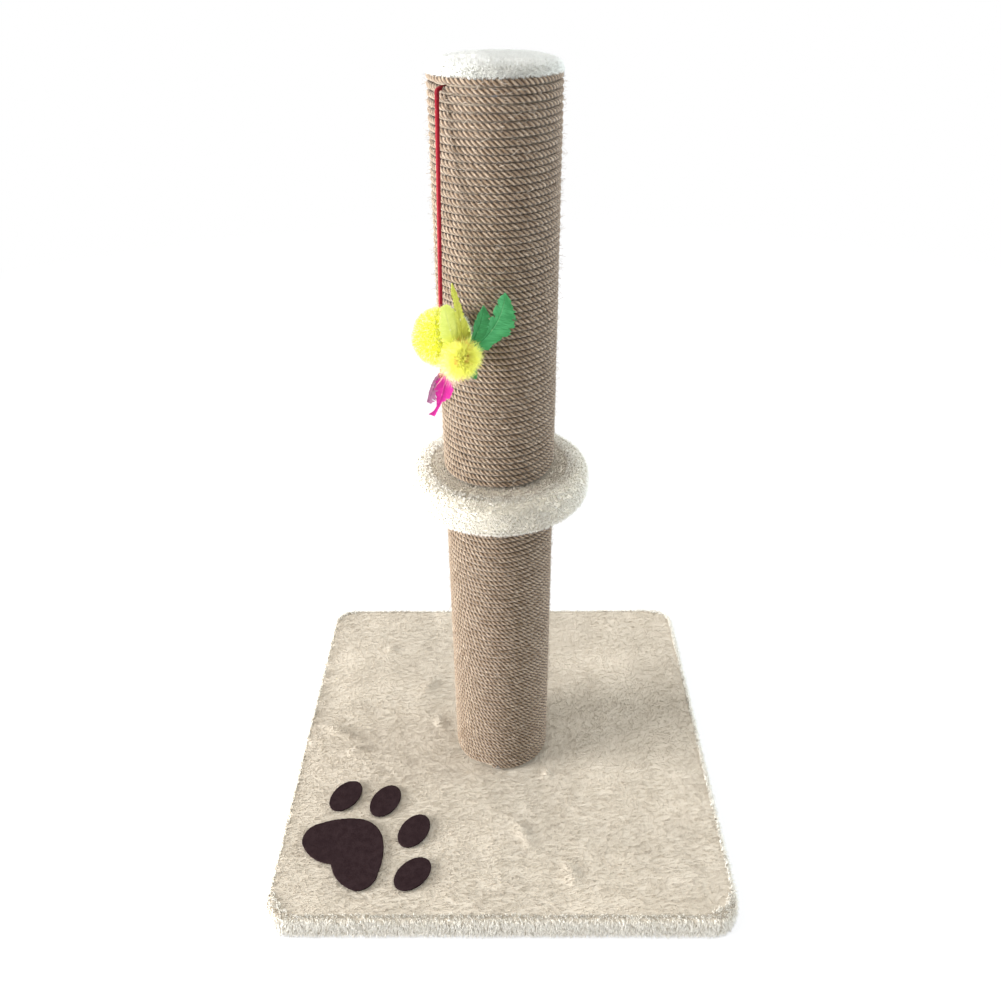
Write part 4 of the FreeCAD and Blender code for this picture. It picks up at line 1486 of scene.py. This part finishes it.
# %% Materials of the hard pieces
hard_finishes = {
    # slot: name, roughness, dark, light, patch, grain and depth in millimetres, sheen, metallic
    "board": ("chipboard", 0.8, (0.42, 0.30, 0.18), (0.66, 0.52, 0.34), (6.0, 1.5, 0.3), 0.0, 0.0),
    "paperboard": ("paperboard", 0.9, (0.44, 0.35, 0.25), (0.58, 0.48, 0.36), (12.0, 0.8, 0.08), 0.0, 0.0),
    "steel": ("zinc_plate", 0.35, (0.50, 0.50, 0.53), (0.74, 0.74, 0.76), (4.0, 0.4, 0.02), 0.0, 1.0),
    "wadding": ("wadding", 1.0, (0.80, 0.79, 0.76), (0.93, 0.92, 0.90), (5.0, 0.8, 0.5), 0.3, 0.0),
    "liner": ("black_liner", 0.9, (0.010, 0.010, 0.012), (0.028, 0.028, 0.032), (10.0, 0.9, 0.15), 0.0, 0.0),
}
finishes = {}
for slot, (name, roughness, dark, light, sizes, sheen, metallic) in hard_finishes.items():
    sizes = [size * mm for size in sizes]
    finishes[slot] = mottled_material(name, roughness, dark, light, *sizes, sheen, metallic)

for subpart in frame["record"]["subparts"]:
    finish = finishes.get(subpart["material_slot"])
    node = frame["nodes"][subpart["node"]]
    if finish and not node.hide_render:
        node.data.materials.clear()
        node.data.materials.append(finish)
        print(f"{subpart['node']}: {finish.name}")

# %% [markdown]
# ## Studio
# A pale floor that runs out of the picture, a large soft lamp at the front left as in the photograph, a
# weaker cool one from the right, and even light from all round. The camera sees the background as white.

# %% Floor and background
studio_light = 0.75
shadow_reach = (0.4, 1.5)


def seen_directly(tree):
    """1 where the camera looks, also in a mirror or through glass, and 0 for light that falls on things."""
    rays = put(tree, "ShaderNodeLightPath").outputs
    seen = calculate(tree, "MAXIMUM", rays["Is Camera Ray"], rays["Is Glossy Ray"])
    return calculate(tree, "MAXIMUM", seen, rays["Is Transmission Ray"])


bpy.ops.mesh.primitive_plane_add(size=60, location=(0, 0, 0))
floor = just_made("floor")
floor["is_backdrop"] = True
floor_material, tree, shader = new_material("floor", 0.9)
shader.inputs["Base Color"].default_value = (0.93, 0.93, 0.93, 1.0)
glow = put(tree, "ShaderNodeEmission", {"Color": white, "Strength": 1.0})
away = put(tree, "ShaderNodeVectorMath", {0: object_place(tree)}, operation="LENGTH").outputs["Value"]
whiter = spread(tree, away, *shadow_reach, studio_light, 1.0)
whitened = calculate(tree, "MULTIPLY", seen_directly(tree), whiter)
blend = put(tree, "ShaderNodeMixShader", {0: whitened, 1: shader.outputs[0], 2: glow.outputs[0]})
tree.links.new(blend.outputs[0], tree.nodes["Material Output"].inputs["Surface"])
floor.data.materials.append(floor_material)

world = bpy.data.worlds.new("studio")
bpy.context.scene.world = world
world.use_nodes = True
tree = world.node_tree
background = tree.nodes["Background"]
background.inputs["Color"].default_value = (*white, 1.0)
brightness = spread(tree, seen_directly(tree), 0.0, 1.0, studio_light, 1.0)
tree.links.new(brightness, background.inputs["Strength"])

# %% Lamps
aim = Vector((0, 0, 0.2))


def lamp(name, place, size, power, tint):
    light = bpy.data.lights.new(name, "AREA")
    light.size = size
    light.energy = power
    light.color = tint
    made = add_object(name, light)
    made.location = place
    made.rotation_euler = (aim - made.location).to_track_quat("-Z", "Y").to_euler()
    print(f"{name}: {power} W")


lamp("window_left", (-2.87, -0.62, 0.82), 1.3, 245.0, (0.98, 1.0, 1.03))
lamp("sky_above", (0.1, 0.1, 2.2), 1.6, 12.0, (1.0, 1.0, 0.99))
lamp("fill_right", (1.65, 0.30, 0.60), 0.9, 21.0, (0.76, 0.90, 1.0))
bpy.context.scene.view_settings.view_transform = "Standard"

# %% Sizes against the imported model
sizes = {"cad": [list(corner) for corner in cad_box], "visual": [list(corner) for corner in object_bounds()]}
print(sizes)
